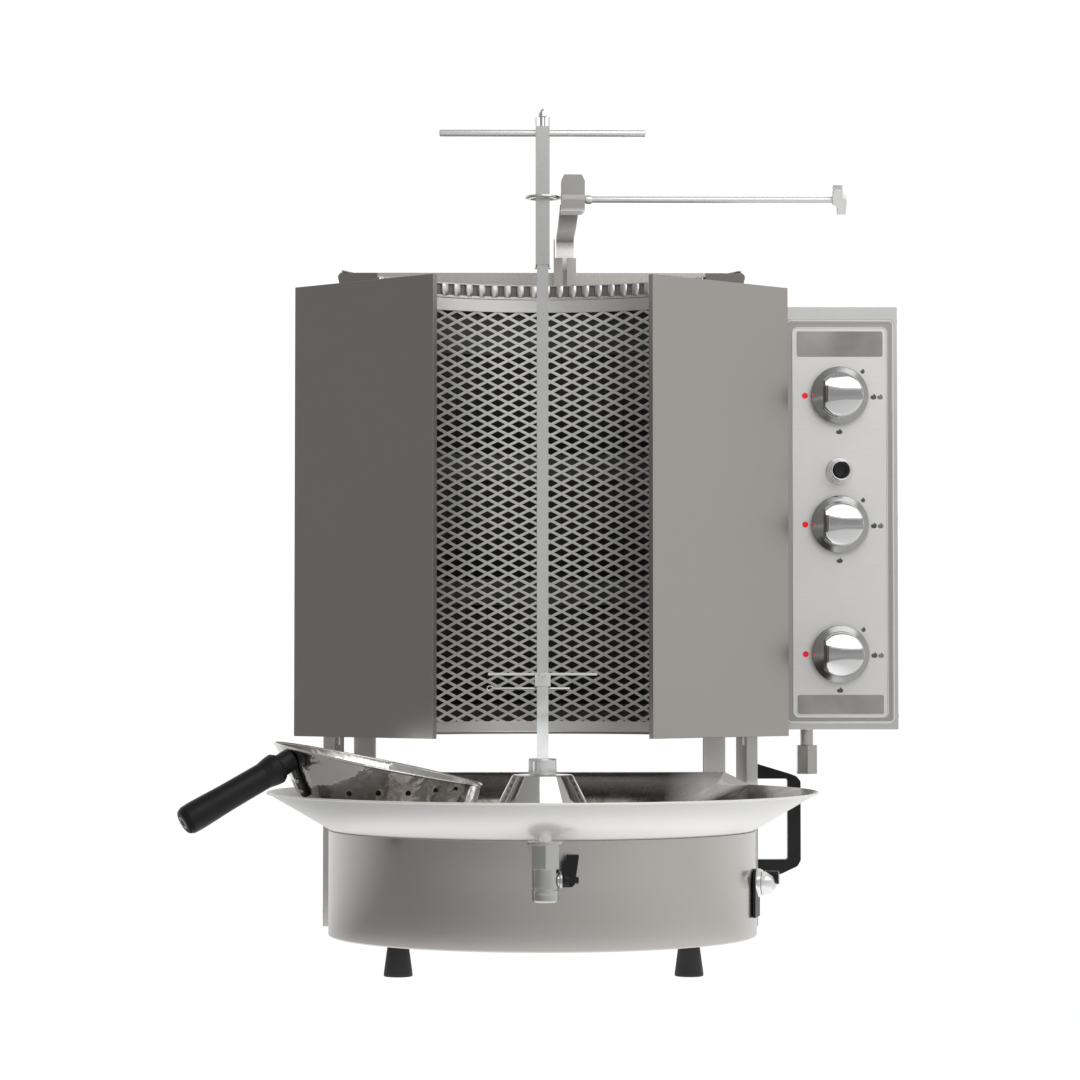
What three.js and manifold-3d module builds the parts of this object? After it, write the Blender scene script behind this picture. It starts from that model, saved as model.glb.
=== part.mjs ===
// Vertical gas rotisserie (doner grill): spit and drip tray on a motor drum, a curved
// wall of three radiant burners behind wire mesh, two swinging heat doors and a control
// box with three gas valves. Millimetres, +Z up, front towards -Y.
import * as THREE from 'three';
import { mergeVertices } from 'three/addons/utils/BufferGeometryUtils.js';
import Module from 'manifold-3d';

const wasm = await Module();
wasm.setup();

// ---- driving dimensions -------------------------------------------------------------
const GAP = 0.3;                 // clearance between neighbouring pieces
const SHEET = 1.5;               // stainless sheet thickness
const DEG = Math.PI / 180;

const DRUM_R = 242;              // motor drum, round in front
const DRUM_BACK = 200;           // where the drum's straight sides end
const DRUM_BOTTOM = 38;
const DRUM_TOP = 155.8;
const REAR_HALF = 260;           // rear box
const REAR_BACK = 340;
const REAR_BOTTOM = 30;
const DECK_TOP = 149.7;

const TRAY_FLOOR = 150;
const TRAY_FLOOR_R = 229;
const TRAY_RIM_R = 311;
const TRAY_RIM_Z = 198;
const TRAY_BACK_Z = 211.5;
const TRAY_CORNER = new THREE.Vector3(250, 185, TRAY_RIM_Z);
const TRAY_BACK_CORNER = new THREE.Vector3(222, 232, TRAY_BACK_Z);

const SHAFT_R = 10;
const CUP_Z = 218;               // socket cup that holds the spit
const CUP_TOP = 236;
const ROD_HALF = 6.5;            // 13 mm square spit
const SLEEVE_Z = 797;
const SLEEVE_TOP = 956;
const TIP_TOP = 977;
const BAR_Z = 949;               // lifting bar
const BAR_HALF = 118;
const SUPPORT_Z = 317.3;

const WALL_R = 250;              // radius of the burner wall about the spit
const WALL_SPAN = 66 * DEG;      // half angle of the burner wall
const BODY_HALF = 236;           // burner body, outside of its side walls
const BODY_FRONT = 104;
const BODY_BACK = 296;
const BODY_BOTTOM = 260;
const FRAME_TOP = 787;
const BODY_TOP = 804;
const HOOD_TOP = 825;
const VALVE_Z = [354.5, 507, 659];
const FEED_Y = 190;

const BOX = { x0: 264, x1: 420, y0: 127, y1: 250, z0: 266, z1: 764.5 };
const VALVE_X = 351;
const IGNITER_Z = 570;
const GAS_X = 315;
const GAS_Y = 160;

const DOOR_W = 213.5;
const DOOR_Z0 = 259;
const DOOR_Z1 = 783.5;
const DOOR_ANGLE = 39.6 * DEG;
const PIN_U = 6.3;               // hinge pin, from the door's outer edge
const PIN_V = 12;                // hinge pin, behind the door's face
const PIN_X = 276;
const PIN_Y = 105.2;

const ARM_X0 = 20;
const ARM_X1 = 41.5;
const RING_Z = 875;
const CLAMP_Z = 873;

const TAP_Y = -262;
const TAP_SPINDLE_Z = 116;

const SWITCH_ANGLE = -13 * DEG;
const SWITCH_Z = 99;

const PAN = { x: -183, y: -90, z: 233.2, rim: 117, base: 94, shift: 19, depth: 57 };
const PAN_TILT = 11.5 * DEG;
const PAN_GRIP = 213 * DEG;      // where round the pan its handle is fixed

// ---- colours ------------------------------------------------------------------------
const steel = (color, roughness) =>
  new THREE.MeshStandardMaterial({ color, roughness, metalness: 1 });
const BRUSHED = steel(0xb4b1ac, 0.4);
const POLISHED = steel(0xdcdcda, 0.18);
const CHROME = steel(0xe4e4e6, 0.08);
const DARK_STEEL = steel(0x5d5c58, 0.45);
const LABEL = new THREE.MeshStandardMaterial({ color: 0xc4c3bf, roughness: 0.5, metalness: 0.6 });
const BRASS = steel(0xb59a5c, 0.35);
const CERAMIC = new THREE.MeshStandardMaterial({ color: 0xb9a58c, roughness: 0.9, metalness: 0 });
const BLACK = new THREE.MeshStandardMaterial({ color: 0x2b2b2b, roughness: 0.45, metalness: 0 });
const RUBBER = new THREE.MeshStandardMaterial({ color: 0x262626, roughness: 0.8, metalness: 0 });
const CAST = new THREE.MeshStandardMaterial({ color: 0x55585a, roughness: 0.6, metalness: 0.7 });

// ---- shape helpers ------------------------------------------------------------------
// Turns a closed three.js geometry into a solid that can be cut and joined.
function solid(geometry) {
  const bare = geometry.clone();
  bare.deleteAttribute('normal');
  bare.deleteAttribute('uv');
  const merged = mergeVertices(bare, 1e-4);
  const points = Float32Array.from(merged.attributes.position.array);
  const index = merged.index.array;
  const corner = (i) => new THREE.Vector3().fromArray(points, 3 * i);
  let volume = 0;
  let triangles = [];
  for (let i = 0; i < index.length; i += 3) {
    const [a, b, c] = [index[i], index[i + 1], index[i + 2]];
    if (a === b || b === c || a === c) continue;
    triangles.push([a, b, c]);
    volume += corner(a).dot(corner(b).cross(corner(c)));
  }
  if (volume < 0) triangles = triangles.map(([a, b, c]) => [a, c, b]);
  const mesh = new wasm.Mesh({
    numProp: 3,
    vertProperties: points,
    triVerts: Uint32Array.from(triangles.flat()),
  });
  return new wasm.Manifold(mesh);
}

function geometryOf(body) {
  const mesh = body.getMesh();
  const geometry = new THREE.BufferGeometry();
  geometry.setAttribute('position', new THREE.BufferAttribute(mesh.vertProperties, 3));
  geometry.setIndex(new THREE.BufferAttribute(mesh.triVerts, 1));
  geometry.computeVertexNormals();
  return geometry;
}

const join = (first, ...others) => others.reduce((body, other) => body.add(other), first);
const cut = (first, ...others) => others.reduce((body, other) => body.subtract(other), first);

function box(x0, x1, y0, y1, z0, z1) {
  const geometry = new THREE.BoxGeometry(x1 - x0, y1 - y0, z1 - z0);
  geometry.translate((x0 + x1) / 2, (y0 + y1) / 2, (z0 + z1) / 2);
  return solid(geometry);
}

// Round bar between two points; r1 gives it a taper.
function rod(r, from, to, sides = 16, r1 = r) {
  const a = new THREE.Vector3(...from);
  const along = new THREE.Vector3(...to).sub(a);
  const geometry = new THREE.CylinderGeometry(r1, r, along.length(), sides);
  geometry.translate(0, along.length() / 2, 0);
  const up = new THREE.Vector3(0, 1, 0);
  const turn = new THREE.Quaternion().setFromUnitVectors(up, along.clone().normalize());
  geometry.applyQuaternion(turn);
  geometry.translate(a.x, a.y, a.z);
  return solid(geometry);
}

// Profile of [radius, height] points turned about the Z axis.
function turned(profile, sides) {
  const points = profile.map(([r, z]) => new THREE.Vector2(r, z));
  const geometry = new THREE.LatheGeometry(points, sides);
  geometry.rotateX(Math.PI / 2);
  return solid(geometry);
}

// The same profile turned about a line from a point along a direction.
function turnedAlong(profile, from, direction, sides) {
  const points = profile.map(([r, h]) => new THREE.Vector2(r, h));
  const geometry = new THREE.LatheGeometry(points, sides);
  const up = new THREE.Vector3(0, 1, 0);
  geometry.applyQuaternion(new THREE.Quaternion().setFromUnitVectors(up, direction));
  geometry.translate(from.x, from.y, from.z);
  return solid(geometry);
}

// Outline extruded along Z, Y or X. For Y and X the outline's axes are X,Z and Y,Z.
function prism(outline, from, to, axis = 'z', curveSegments = 24) {
  const shape = Array.isArray(outline)
    ? new THREE.Shape(outline.map(([a, b]) => new THREE.Vector2(a, b)))
    : outline;
  const geometry = new THREE.ExtrudeGeometry(shape, {
    depth: to - from, bevelEnabled: false, curveSegments,
  });
  geometry.translate(0, 0, from);
  if (axis === 'y') geometry.applyMatrix4(new THREE.Matrix4().set(
    1, 0, 0, 0, 0, 0, 1, 0, 0, 1, 0, 0, 0, 0, 0, 1));
  if (axis === 'x') geometry.applyMatrix4(new THREE.Matrix4().set(
    0, 0, 1, 0, 1, 0, 0, 0, 0, 1, 0, 0, 0, 0, 0, 1));
  return solid(geometry);
}

// Ring wall about the Z axis between two radii, over angles measured from +Y.
function arcWall(r0, r1, halfAngle, z0, z1, segments = 17) {
  const shape = new THREE.Shape();
  shape.absarc(0, 0, r1, Math.PI / 2 - halfAngle, Math.PI / 2 + halfAngle, false);
  shape.absarc(0, 0, r0, Math.PI / 2 + halfAngle, Math.PI / 2 - halfAngle, true);
  return prism(shape, z0, z1, 'z', segments);
}

// Drum outline: half circle in front, straight sides to the back.
function drumOutline(r, back) {
  const shape = new THREE.Shape();
  shape.moveTo(r, back);
  shape.lineTo(-r, back);
  shape.absarc(0, 0, r, Math.PI, 2 * Math.PI, false);
  return shape;
}

function roundedRect(x0, x1, y0, y1, r) {
  const shape = new THREE.Shape();
  shape.absarc(x0 + r, y0 + r, r, Math.PI, 1.5 * Math.PI, false);
  shape.absarc(x1 - r, y0 + r, r, 1.5 * Math.PI, 2 * Math.PI, false);
  shape.absarc(x1 - r, y1 - r, r, 0, 0.5 * Math.PI, false);
  shape.absarc(x0 + r, y1 - r, r, 0.5 * Math.PI, Math.PI, false);
  return shape;
}

// Band of even width along a smooth curve through the points of a plane.
function bandOutline(points, width, steps) {
  const curve = new THREE.SplineCurve(points.map(([a, b]) => new THREE.Vector2(a, b)));
  const side = (t, sign) => {
    const p = curve.getPoint(t);
    const d = curve.getTangent(t);
    return [p.x - sign * d.y * width / 2, p.y + sign * d.x * width / 2];
  };
  const ts = Array.from({ length: steps + 1 }, (_, i) => i / steps);
  return [...ts.map((t) => side(t, 1)), ...ts.reverse().map((t) => side(t, -1))];
}

// Everything on the side of a plane that its normal points to.
function halfSpace(point, normal, size = 900) {
  const geometry = new THREE.BoxGeometry(size, size, size);
  geometry.translate(0, 0, size / 2);
  const z = new THREE.Vector3(0, 0, 1);
  geometry.applyQuaternion(new THREE.Quaternion().setFromUnitVectors(z, normal));
  geometry.translate(point.x, point.y, point.z);
  return solid(geometry);
}

const group = new THREE.Group();
function piece(name, body, material, parent = group) {
  const mesh = new THREE.Mesh(geometryOf(body), material);
  mesh.name = name;
  parent.add(mesh);
  return mesh;
}

// ---- base ---------------------------------------------------------------------------
function addFeet() {
  const foot = (height) => turned(
    [[0, 0], [15.9, 0], [15.9, 3], [11.7, height], [0, height]], 20);
  const places = [
    ['foot_front_left', -160, -100, DRUM_BOTTOM + 2],
    ['foot_front_right', 160, -100, DRUM_BOTTOM + 2],
    ['foot_rear_left', -160, 300, REAR_BOTTOM],
    ['foot_rear_right', 160, 300, REAR_BOTTOM],
  ];
  for (const [name, x, y, top] of places) {
    piece(name, foot(top - GAP), RUBBER).position.set(x, y, 0);
  }
}

function addBase() {
  const outer = prism(drumOutline(DRUM_R, DRUM_BACK), DRUM_BOTTOM, DRUM_TOP);
  const inner = prism(drumOutline(DRUM_R - SHEET, DRUM_BACK + 10), DRUM_BOTTOM - 1, DRUM_TOP + 1);
  const floorZ = DRUM_BOTTOM + 2;
  const floor = prism(drumOutline(DRUM_R - 1, DRUM_BACK), floorZ, floorZ + SHEET);
  piece('base_drum', join(cut(outer, inner), floor), BRUSHED);

  const plate = drumOutline(DRUM_R - SHEET - GAP, DRUM_BACK - GAP);
  const deck = prism(plate, DECK_TOP - SHEET, DECK_TOP, 'z', 12);
  piece('base_deck', cut(deck, rod(14, [0, 0, 140], [0, 0, 160], 24)), DARK_STEEL);

  const front = DRUM_BACK + GAP;
  const shell = box(-REAR_HALF, REAR_HALF, front, REAR_BACK, REAR_BOTTOM, DECK_TOP);
  const hollow = box(-REAR_HALF + SHEET, REAR_HALF - SHEET, front + SHEET, REAR_BACK - SHEET,
    REAR_BOTTOM + SHEET, DECK_TOP - SHEET);
  const doorway = box(-238, 238, front - 5, front + 5, floorZ + 5, DECK_TOP - 5);
  piece('rear_box', cut(shell, hollow, doorway), BRUSHED);
}

function addDrive() {
  const gearbox = box(-60, 60, -45, 50, 48, 108);
  const boss = rod(22, [0, 0, 100], [0, 0, 114], 20);
  const seat = rod(SHAFT_R + 0.6, [0, 0, 76], [0, 0, 120], 20);
  const legs = [-50, 38].map((x) => box(x, x + 12, -45, 50, 41.5 + GAP, 48.5));
  const can = rod(32, [0, 49, 80], [0, 158, 80], 20);
  const cap = rod(28, [0, 157, 80], [0, 164, 80], 20);
  piece('gearmotor', cut(join(gearbox, boss, can, cap, ...legs), seat), CAST);
  const bearing = turned([[SHAFT_R + 0.6, 124], [26, 124], [26, 138], [34, 138],
    [34, DECK_TOP - SHEET - GAP], [SHAFT_R + 0.6, DECK_TOP - SHEET - GAP],
    [SHAFT_R + 0.6, 124]], 24);
  piece('shaft_bearing', bearing, CAST);
  piece('drive_shaft', rod(SHAFT_R, [0, 0, 78], [0, 0, CUP_Z - GAP], 24), BRUSHED);
}

// ---- drip tray ----------------------------------------------------------------------
// A wide cone whose back is cut off by a leaning rear wall and two mitred corners.
function trayBody(inset) {
  const slope = (TRAY_RIM_Z - TRAY_FLOOR) / (TRAY_RIM_R - TRAY_FLOOR_R);
  const top = 235;
  const lift = inset * Math.hypot(1, slope);
  const floor = TRAY_FLOOR + inset;
  const radiusAt = (z) => TRAY_FLOOR_R + (z - TRAY_FLOOR - lift) / slope;
  const cone = turned([[0, floor], [radiusAt(floor), floor], [radiusAt(top + inset), top + inset],
    [0, top + inset]], 64);
  const leanWall = new THREE.Vector3(0, 1, -0.45).normalize();
  const mitre = new THREE.Vector3(0.592, 0.528, -0.609).normalize();
  const back = (normal, point) =>
    halfSpace(point.clone().addScaledVector(normal, -inset), normal);
  const left = (v) => new THREE.Vector3(-v.x, v.y, v.z);
  return cut(cone, back(leanWall, TRAY_BACK_CORNER), back(mitre, TRAY_CORNER),
    back(left(mitre), left(TRAY_CORNER)));
}

function addTray() {
  const reach = 400;
  const above = prism([[-reach, TRAY_RIM_Z], [TRAY_CORNER.y, TRAY_RIM_Z],
    [TRAY_BACK_CORNER.y, TRAY_BACK_Z], [reach, TRAY_BACK_Z], [reach, reach], [-reach, reach]],
  -reach, reach, 'x');
  const collar = turned([[14, TRAY_FLOOR + 0.2], [15.5, TRAY_FLOOR + 0.2], [15.5, 172],
    [14, 172], [14, TRAY_FLOOR + 0.2]], 24);
  const hole = rod(14.6, [0, 0, 140], [0, 0, 160], 24);
  const drain = rod(7.9, [0, TAP_Y, 150], [0, TAP_Y, 190], 16);
  const shell = cut(trayBody(0), trayBody(SHEET), above, hole, drain);
  piece('drip_tray', join(shell, collar), POLISHED);
}

function addTap() {
  const at = (z) => [0, TAP_Y, z];
  const across = (x) => [x, TAP_Y, TAP_SPINDLE_Z];
  const hex = rod(16.5, at(128), at(154), 6);
  const body = join(hex, rod(19.5, at(153.5), at(157), 28), rod(7.5, at(156), at(175), 16),
    rod(14.25, at(93), at(129), 24), rod(7, across(4), across(17.6), 16));
  piece('drain_valve', cut(body, rod(5, at(92), at(176), 12)), CHROME);
  const outline = [[18, 109], [28, 109], [31, 112], [35, 140], [35, 143], [22, 143], [22, 139],
    [18, 136]];
  const lever = prism(outline, TAP_Y - 5, TAP_Y + 5, 'y');
  const hub = rod(7.5, across(18), across(24), 16);
  piece('tap_lever', join(lever, hub), BLACK);
}

// ---- spit ---------------------------------------------------------------------------
function addSpit() {
  const edge = 1.6;
  const cup = turned([[0, CUP_Z], [16, CUP_Z], [16, CUP_TOP - edge], [16 - edge, CUP_TOP],
    [0, CUP_TOP]], 32);
  const socket = box(-7.1, 7.1, -7.1, 7.1, CUP_Z + 4, CUP_TOP + 5);
  piece('spit_socket', cut(cup, socket), CHROME);
  piece('drip_cone', turned([[68, TRAY_FLOOR + 4.2], [34, CUP_Z - GAP], [SHAFT_R + 0.5, CUP_Z - GAP],
    [SHAFT_R + 0.5, CUP_Z - 2], [33, CUP_Z - 2], [66.4, TRAY_FLOOR + 4.2],
    [68, TRAY_FLOOR + 4.2]], 32), POLISHED);

  const square = (half, z0, z1) => box(-half, half, -half, half, z0, z1);
  const shoulder = rod(1.6, [-9, 0, SLEEVE_Z - 2.5], [9, 0, SLEEVE_Z - 2.5], 10);
  const neck = rod(3.25, [0, 0, SLEEVE_TOP - 2], [0, 0, 967], 12);
  const tip = turned([[0, 964], [5, 968], [5, 971], [1, TIP_TOP], [0, TIP_TOP]], 8);
  const barHole = rod(4.4, [-20, 0, BAR_Z], [20, 0, BAR_Z], 14);
  const pinZ = SUPPORT_Z - 2.2;
  const pinHole = rod(1.9, [-20, 0, pinZ], [20, 0, pinZ], 10);
  const body = join(square(ROD_HALF, CUP_Z + 4.4, SLEEVE_TOP - 1), shoulder, neck, tip);
  piece('spit_rod', cut(body, barHole, pinHole), CHROME);

  const prongs = [-8, 6.9].map((x) => box(x, x + 1.1, -4, 4, SLEEVE_TOP - 1, 967));
  const tube = cut(square(8, SLEEVE_Z, SLEEVE_TOP), square(ROD_HALF + 0.4, 0, 1000));
  piece('spit_sleeve', cut(join(tube, ...prongs), barHole), BRUSHED);
  piece('lifting_bar', rod(4, [-BAR_HALF, 0, BAR_Z], [BAR_HALF, 0, BAR_Z], 14), CHROME);

  const arms = [box(-62, 62, -4.5, 4.5, 330, 333), box(-4.5, 4.5, -62, 62, 330, 333)];
  const hub = join(square(9, SUPPORT_Z, 333), ...arms);
  piece('meat_support', cut(hub, square(ROD_HALF + 0.4, 0, 400)), CHROME);
  const pin = rod(1.5, [-61, 0, pinZ], [31, 0, pinZ], 10);
  piece('support_pin', join(pin, box(-63, -55, -1, 1, pinZ - 3, pinZ + 3)), CHROME);
}

// ---- burner body --------------------------------------------------------------------
function bodyPlate(z0, r) {
  const plate = box(-BODY_HALF + SHEET + GAP, BODY_HALF - SHEET - GAP, BODY_FRONT - 4,
    BODY_BACK - 0.8, z0, z0 + SHEET);
  return cut(plate, rod(r, [0, 0, z0 - 1], [0, 0, z0 + SHEET + 1], 64));
}

function addBurnerBody() {
  const opening = arcWall(WALL_R - 20, WALL_R + 20, 61 * DEG, 273.5, 770.5);
  const frame = arcWall(WALL_R, WALL_R + 2, WALL_SPAN, BODY_BOTTOM + 0.5, FRAME_TOP);
  const mesh = arcWall(WALL_R + 2 + GAP, WALL_R + 3.5, 64 * DEG, BODY_BOTTOM + 6, FRAME_TOP - 7);
  piece('burner_mesh', mesh, BRUSHED);

  const pitch = 16 / WALL_R;
  const count = 2 * Math.floor(WALL_SPAN / pitch) - 1;
  const slots = Array.from({ length: count }, (_, i) => {
    const angle = Math.PI / 2 + (i - (count - 1) / 2) * pitch;
    const slot = new THREE.BoxGeometry(12, 8.5, 13);
    slot.translate(WALL_R, 0, FRAME_TOP + 9);
    slot.rotateZ(angle);
    return solid(slot);
  });
  const band = arcWall(WALL_R, WALL_R + SHEET, WALL_SPAN, FRAME_TOP - 1, BODY_TOP);
  piece('burner_frame', join(cut(frame, opening), cut(band, ...slots)), BRUSHED);

  const topZ = BODY_TOP - SHEET - 0.2;
  const legSlot = box(ARM_X0 - 1, ARM_X1 + 1, 285.5, 293, topZ - 5, topZ + 5);
  const flues = [-150, -100, -50, 50, 100, 150].map((x) =>
    box(x - 18, x + 18, 268, 276, topZ - 5, topZ + 5));
  piece('top_panel', cut(bodyPlate(topZ, WALL_R + 2.3), legSlot, ...flues), BRUSHED);
  piece('bottom_panel', bodyPlate(BODY_BOTTOM - SHEET - 0.2, WALL_R), BRUSHED);

  const sheet = box(-227, 227, BODY_BACK, BODY_BACK + SHEET, BODY_BOTTOM - SHEET, HOOD_TOP);
  const roof = box(-227, 227, BODY_BACK, 332, HOOD_TOP - SHEET, HOOD_TOP);
  piece('back_panel', join(sheet, roof, armChannel()), BRUSHED);

  for (const [name, side] of [['side_wall_left', -1], ['side_wall_right', 1]]) {
    const span = (a, b) => [Math.min(side * a, side * b), Math.max(side * a, side * b)];
    const slab = (x0, x1, ...rest) => box(...span(x0, x1), ...rest);
    const wallTop = BODY_TOP - 2.2;
    const wall = slab(BODY_HALF - SHEET, BODY_HALF, BODY_FRONT, BODY_BACK - 0.5, BODY_BOTTOM, wallTop);
    const lipFront = slab(231.2, BODY_HALF, BODY_FRONT, BODY_FRONT + SHEET, BODY_BOTTOM, wallTop);
    const ear = slab(BODY_HALF - 1, BODY_HALF + 3, BODY_FRONT, BODY_BACK - 20, 796.5, 798);
    const feeds = VALVE_Z.map((z) => rod(6.5, [220, FEED_Y, z], [250, FEED_Y, z], 12));
    const body = join(wall, lipFront, ear);
    piece(name, side > 0 ? cut(body, ...feeds) : body, BRUSHED);
  }
}

function addBurners() {
  const inner = 272;
  const outer = 296;
  const angles = [-48, -16, 16, 48].map((a) => a * DEG);
  const at = (r, a) => [r * Math.sin(a), r * Math.cos(a)];
  const plan = [...angles.map((a) => at(inner, a)), ...angles.reverse().map((a) => at(outer, a))];
  VALVE_Z.forEach((z, i) => {
    const plaque = prism(plan, z - 60, z + 60);
    const feed = rod(5, [205, FEED_Y, z], [329.7, FEED_Y, z], 12);
    piece(`burner_${i + 1}`, join(plaque, feed), CERAMIC);
  });
}

// ---- posts, arm and handle ----------------------------------------------------------
function addPosts() {
  for (const [suffix, side] of [['left', -1], ['right', 1]]) {
    const mirror = (points) => points.map(([x, y]) => [side * x, y]);
    const sidePost = [[247, 203], [260, 203], [260, 250], [237.5, 250], [237.5, 248.5],
      [258.5, 248.5], [258.5, 204.5], [247, 204.5]];
    const rearPost = [[202, 298.2], [228, 298.2], [228, 330], [202, 330], [202, 328.5],
      [226.5, 328.5], [226.5, 299.7], [202, 299.7]];
    piece(`side_post_${suffix}`, prism(mirror(sidePost), DECK_TOP + GAP, 340), BRUSHED);
    piece(`rear_post_${suffix}`, prism(mirror(rearPost), DECK_TOP + GAP, HOOD_TOP - 1.8), BRUSHED);
  }
  const handle = new THREE.Shape([[260.3, 223], [300, 211], [308, 208], [313, 202], [313, 107],
    [309, 100], [291, 91.5], [260.3, 82]].map(([x, z]) => new THREE.Vector2(x, z)));
  const window = box(255, 297.5, 200, 240, 108, 205);
  piece('bow_handle', cut(prism(handle, 218, 233, 'y'), window), BLACK);
}

// Guide channel on the hood's face, in which the arm's leg slides up and down.
function armChannel() {
  const [x0, x1] = [17, 44.5];
  const back = BODY_BACK + 0.5;
  const front = BODY_BACK - 12;
  const foot = BODY_TOP + 0.2;
  return join(
    box(x0, x1, back - 2, back, foot, 842),
    box(x0, x0 + SHEET, front, back, foot, 865),
    box(x1 - SHEET, x1, front, back, foot, 842),
    box(x0, 28, front, front + SHEET, 808, 842),
    box(33, x1, front, front + SHEET, 808, 842));
}

function addArm() {
  const line = [[289.6, 740], [289.6, 800], [289.6, 838], [284, 857], [266, 865], [150, 863],
    [10, 866]];
  const blade = prism(bandOutline(line, 5, 26), ARM_X0, ARM_X1, 'x');
  const head = prism([[21, 858], [45, 858], [48, 861], [48, 893], [44.5, 900], [24.5, 900],
    [21, 893]], -12, 20, 'y');
  const groove = box(15, 55, -15, -10, 871, 877);
  const bore = rod(4.3, [30, 0, CLAMP_Z], [60, 0, CLAMP_Z], 14);
  piece('support_arm', cut(join(blade, head), groove, bore), BRUSHED);

  const ring = turned([[13, RING_Z - 1.5], [20, RING_Z - 1.5], [20, RING_Z + 1.5],
    [13, RING_Z + 1.5], [13, RING_Z - 1.5]], 32);
  piece('spit_ring', join(ring, box(17, 20.7, -5, 5, RING_Z - 1.5, RING_Z + 1.5)), CHROME);

  const bar = new THREE.BoxGeometry(16, 10, 35);
  bar.rotateX(45 * DEG);
  bar.translate(339, 0, CLAMP_Z);
  const screw = rod(3.75, [31, 0, CLAMP_Z], [333, 0, CLAMP_Z], 14);
  piece('clamp_screw', join(screw, solid(bar)), CHROME);
}

// ---- control box --------------------------------------------------------------------
function addControlBox() {
  const { x0, x1, y0, y1, z0, z1 } = BOX;
  const shell = cut(box(x0, x1, y0, y1, z0, z1),
    box(x0 + SHEET, x1 - SHEET, y0 + SHEET, y1 - SHEET, z0 + SHEET, z1 - SHEET));
  const front = box(293, 410, y0 - 5, y0 + 5, 280, 742);
  const feeds = VALVE_Z.map((z) => rod(6.5, [x0 - 5, FEED_Y, z], [x0 + 5, FEED_Y, z], 12));
  const inlet = rod(8.3, [GAS_X, GAS_Y, z0 - 5], [GAS_X, GAS_Y, z0 + 5], 16);
  piece('control_box', cut(shell, front, inlet, ...feeds), BRUSHED);

  const back = y0 - GAP;
  const face = back - SHEET;
  const plate = prism(roundedRect(287, 416, 273, 749.5, 5), face, back, 'y', 3);
  const rim = cut(prism(roundedRect(289, 414, 275, 747.5, 5), face - 0.6, face + 0.2, 'y', 3),
    prism(roundedRect(291.5, 411.5, 277.5, 745, 4), face - 2, face + 2, 'y', 3));
  const titleBlank = box(302, 402, face - 0.8, face + 0.2, 706, 734.5);
  const typeBlank = box(302, 402, face - 0.8, face + 0.2, 285, 306);
  const holes = VALVE_Z.map((z) => rod(5.5, [VALVE_X, 110, z], [VALVE_X, 140, z], 12));
  const igniter = rod(10.5, [VALVE_X, 110, IGNITER_Z], [VALVE_X, 140, IGNITER_Z], 20);
  piece('label_plate', cut(join(plate, rim, titleBlank, typeBlank), igniter, ...holes), LABEL);
}

function addIgniter() {
  const face = BOX.y0 - GAP - SHEET;
  // Heights run outwards from the label plate's face.
  const facing = (profile) => turned(profile, 20).rotate([90, 0, 0]);
  const bezel = facing([[9.2, -16], [10.2, -16], [10.2, 0.3], [16, 0.3], [16, 2.5],
    [13.6, 5], [12.2, 22.5], [11, 23.5], [9.2, 21.5], [9.2, -16]]);
  const button = facing([[0, -10], [8.8, -10], [8.8, 22.4], [7.4, 23], [5, 21.4], [0, 21]]);
  piece('igniter_bezel', bezel, CHROME).position.set(VALVE_X, face, IGNITER_Z);
  piece('igniter_button', button, BLACK).position.set(VALVE_X, face, IGNITER_Z);
}

function addValves() {
  const rail = rod(7.7, [GAS_X, GAS_Y, 246], [GAS_X, GAS_Y, 676], 16);
  const nut = rod(13.25, [GAS_X, GAS_Y, 213], [GAS_X, GAS_Y, 247], 6);
  const bore = rod(5, [GAS_X, GAS_Y, 210], [GAS_X, GAS_Y, 670], 12);
  piece('gas_rail', cut(join(rail, nut), bore), BRASS);

  // Each valve is drawn about its own spindle line, which runs along Y.
  const block = join(box(-20, 20, 140, 198, -15, 15), rod(11, [0, 128.2, 0], [0, 141, 0], 20),
    box(GAS_X + 7.8 - VALVE_X, -19, 150, 170, -8, 8));
  const valve = cut(block, rod(4.5, [0, 120, 0], [0, 166, 0], 14));
  const spindle = rod(4, [0, 98, 0], [0, 165, 0], 14);
  const skirtY = 119.6;
  const profile = [[0, 0], [34, 0], [34, 5], [26, 10], [24, 14], [24, 19],
    [21, 23], [0, 25.2]];
  const dome = turned(profile, 28).rotate([90, 0, 0]).translate([0, skirtY, 0]);
  const grip = prism(roundedRect(-25, 17, -7.5, 7.5, 6), skirtY - 31, skirtY - 12, 'y', 3);
  const knob = cut(join(dome, grip), rod(4.4, [0, 93.6, 0], [0, 125, 0], 14));
  VALVE_Z.forEach((z, i) => {
    piece(`gas_valve_${i + 1}`, valve, BRASS).position.set(VALVE_X, 0, z);
    piece(`valve_spindle_${i + 1}`, spindle, BRUSHED).position.set(VALVE_X, 0, z);
    piece(`knob_${i + 1}`, knob, CHROME).position.set(VALVE_X, 0, z);
  });
}

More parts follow.
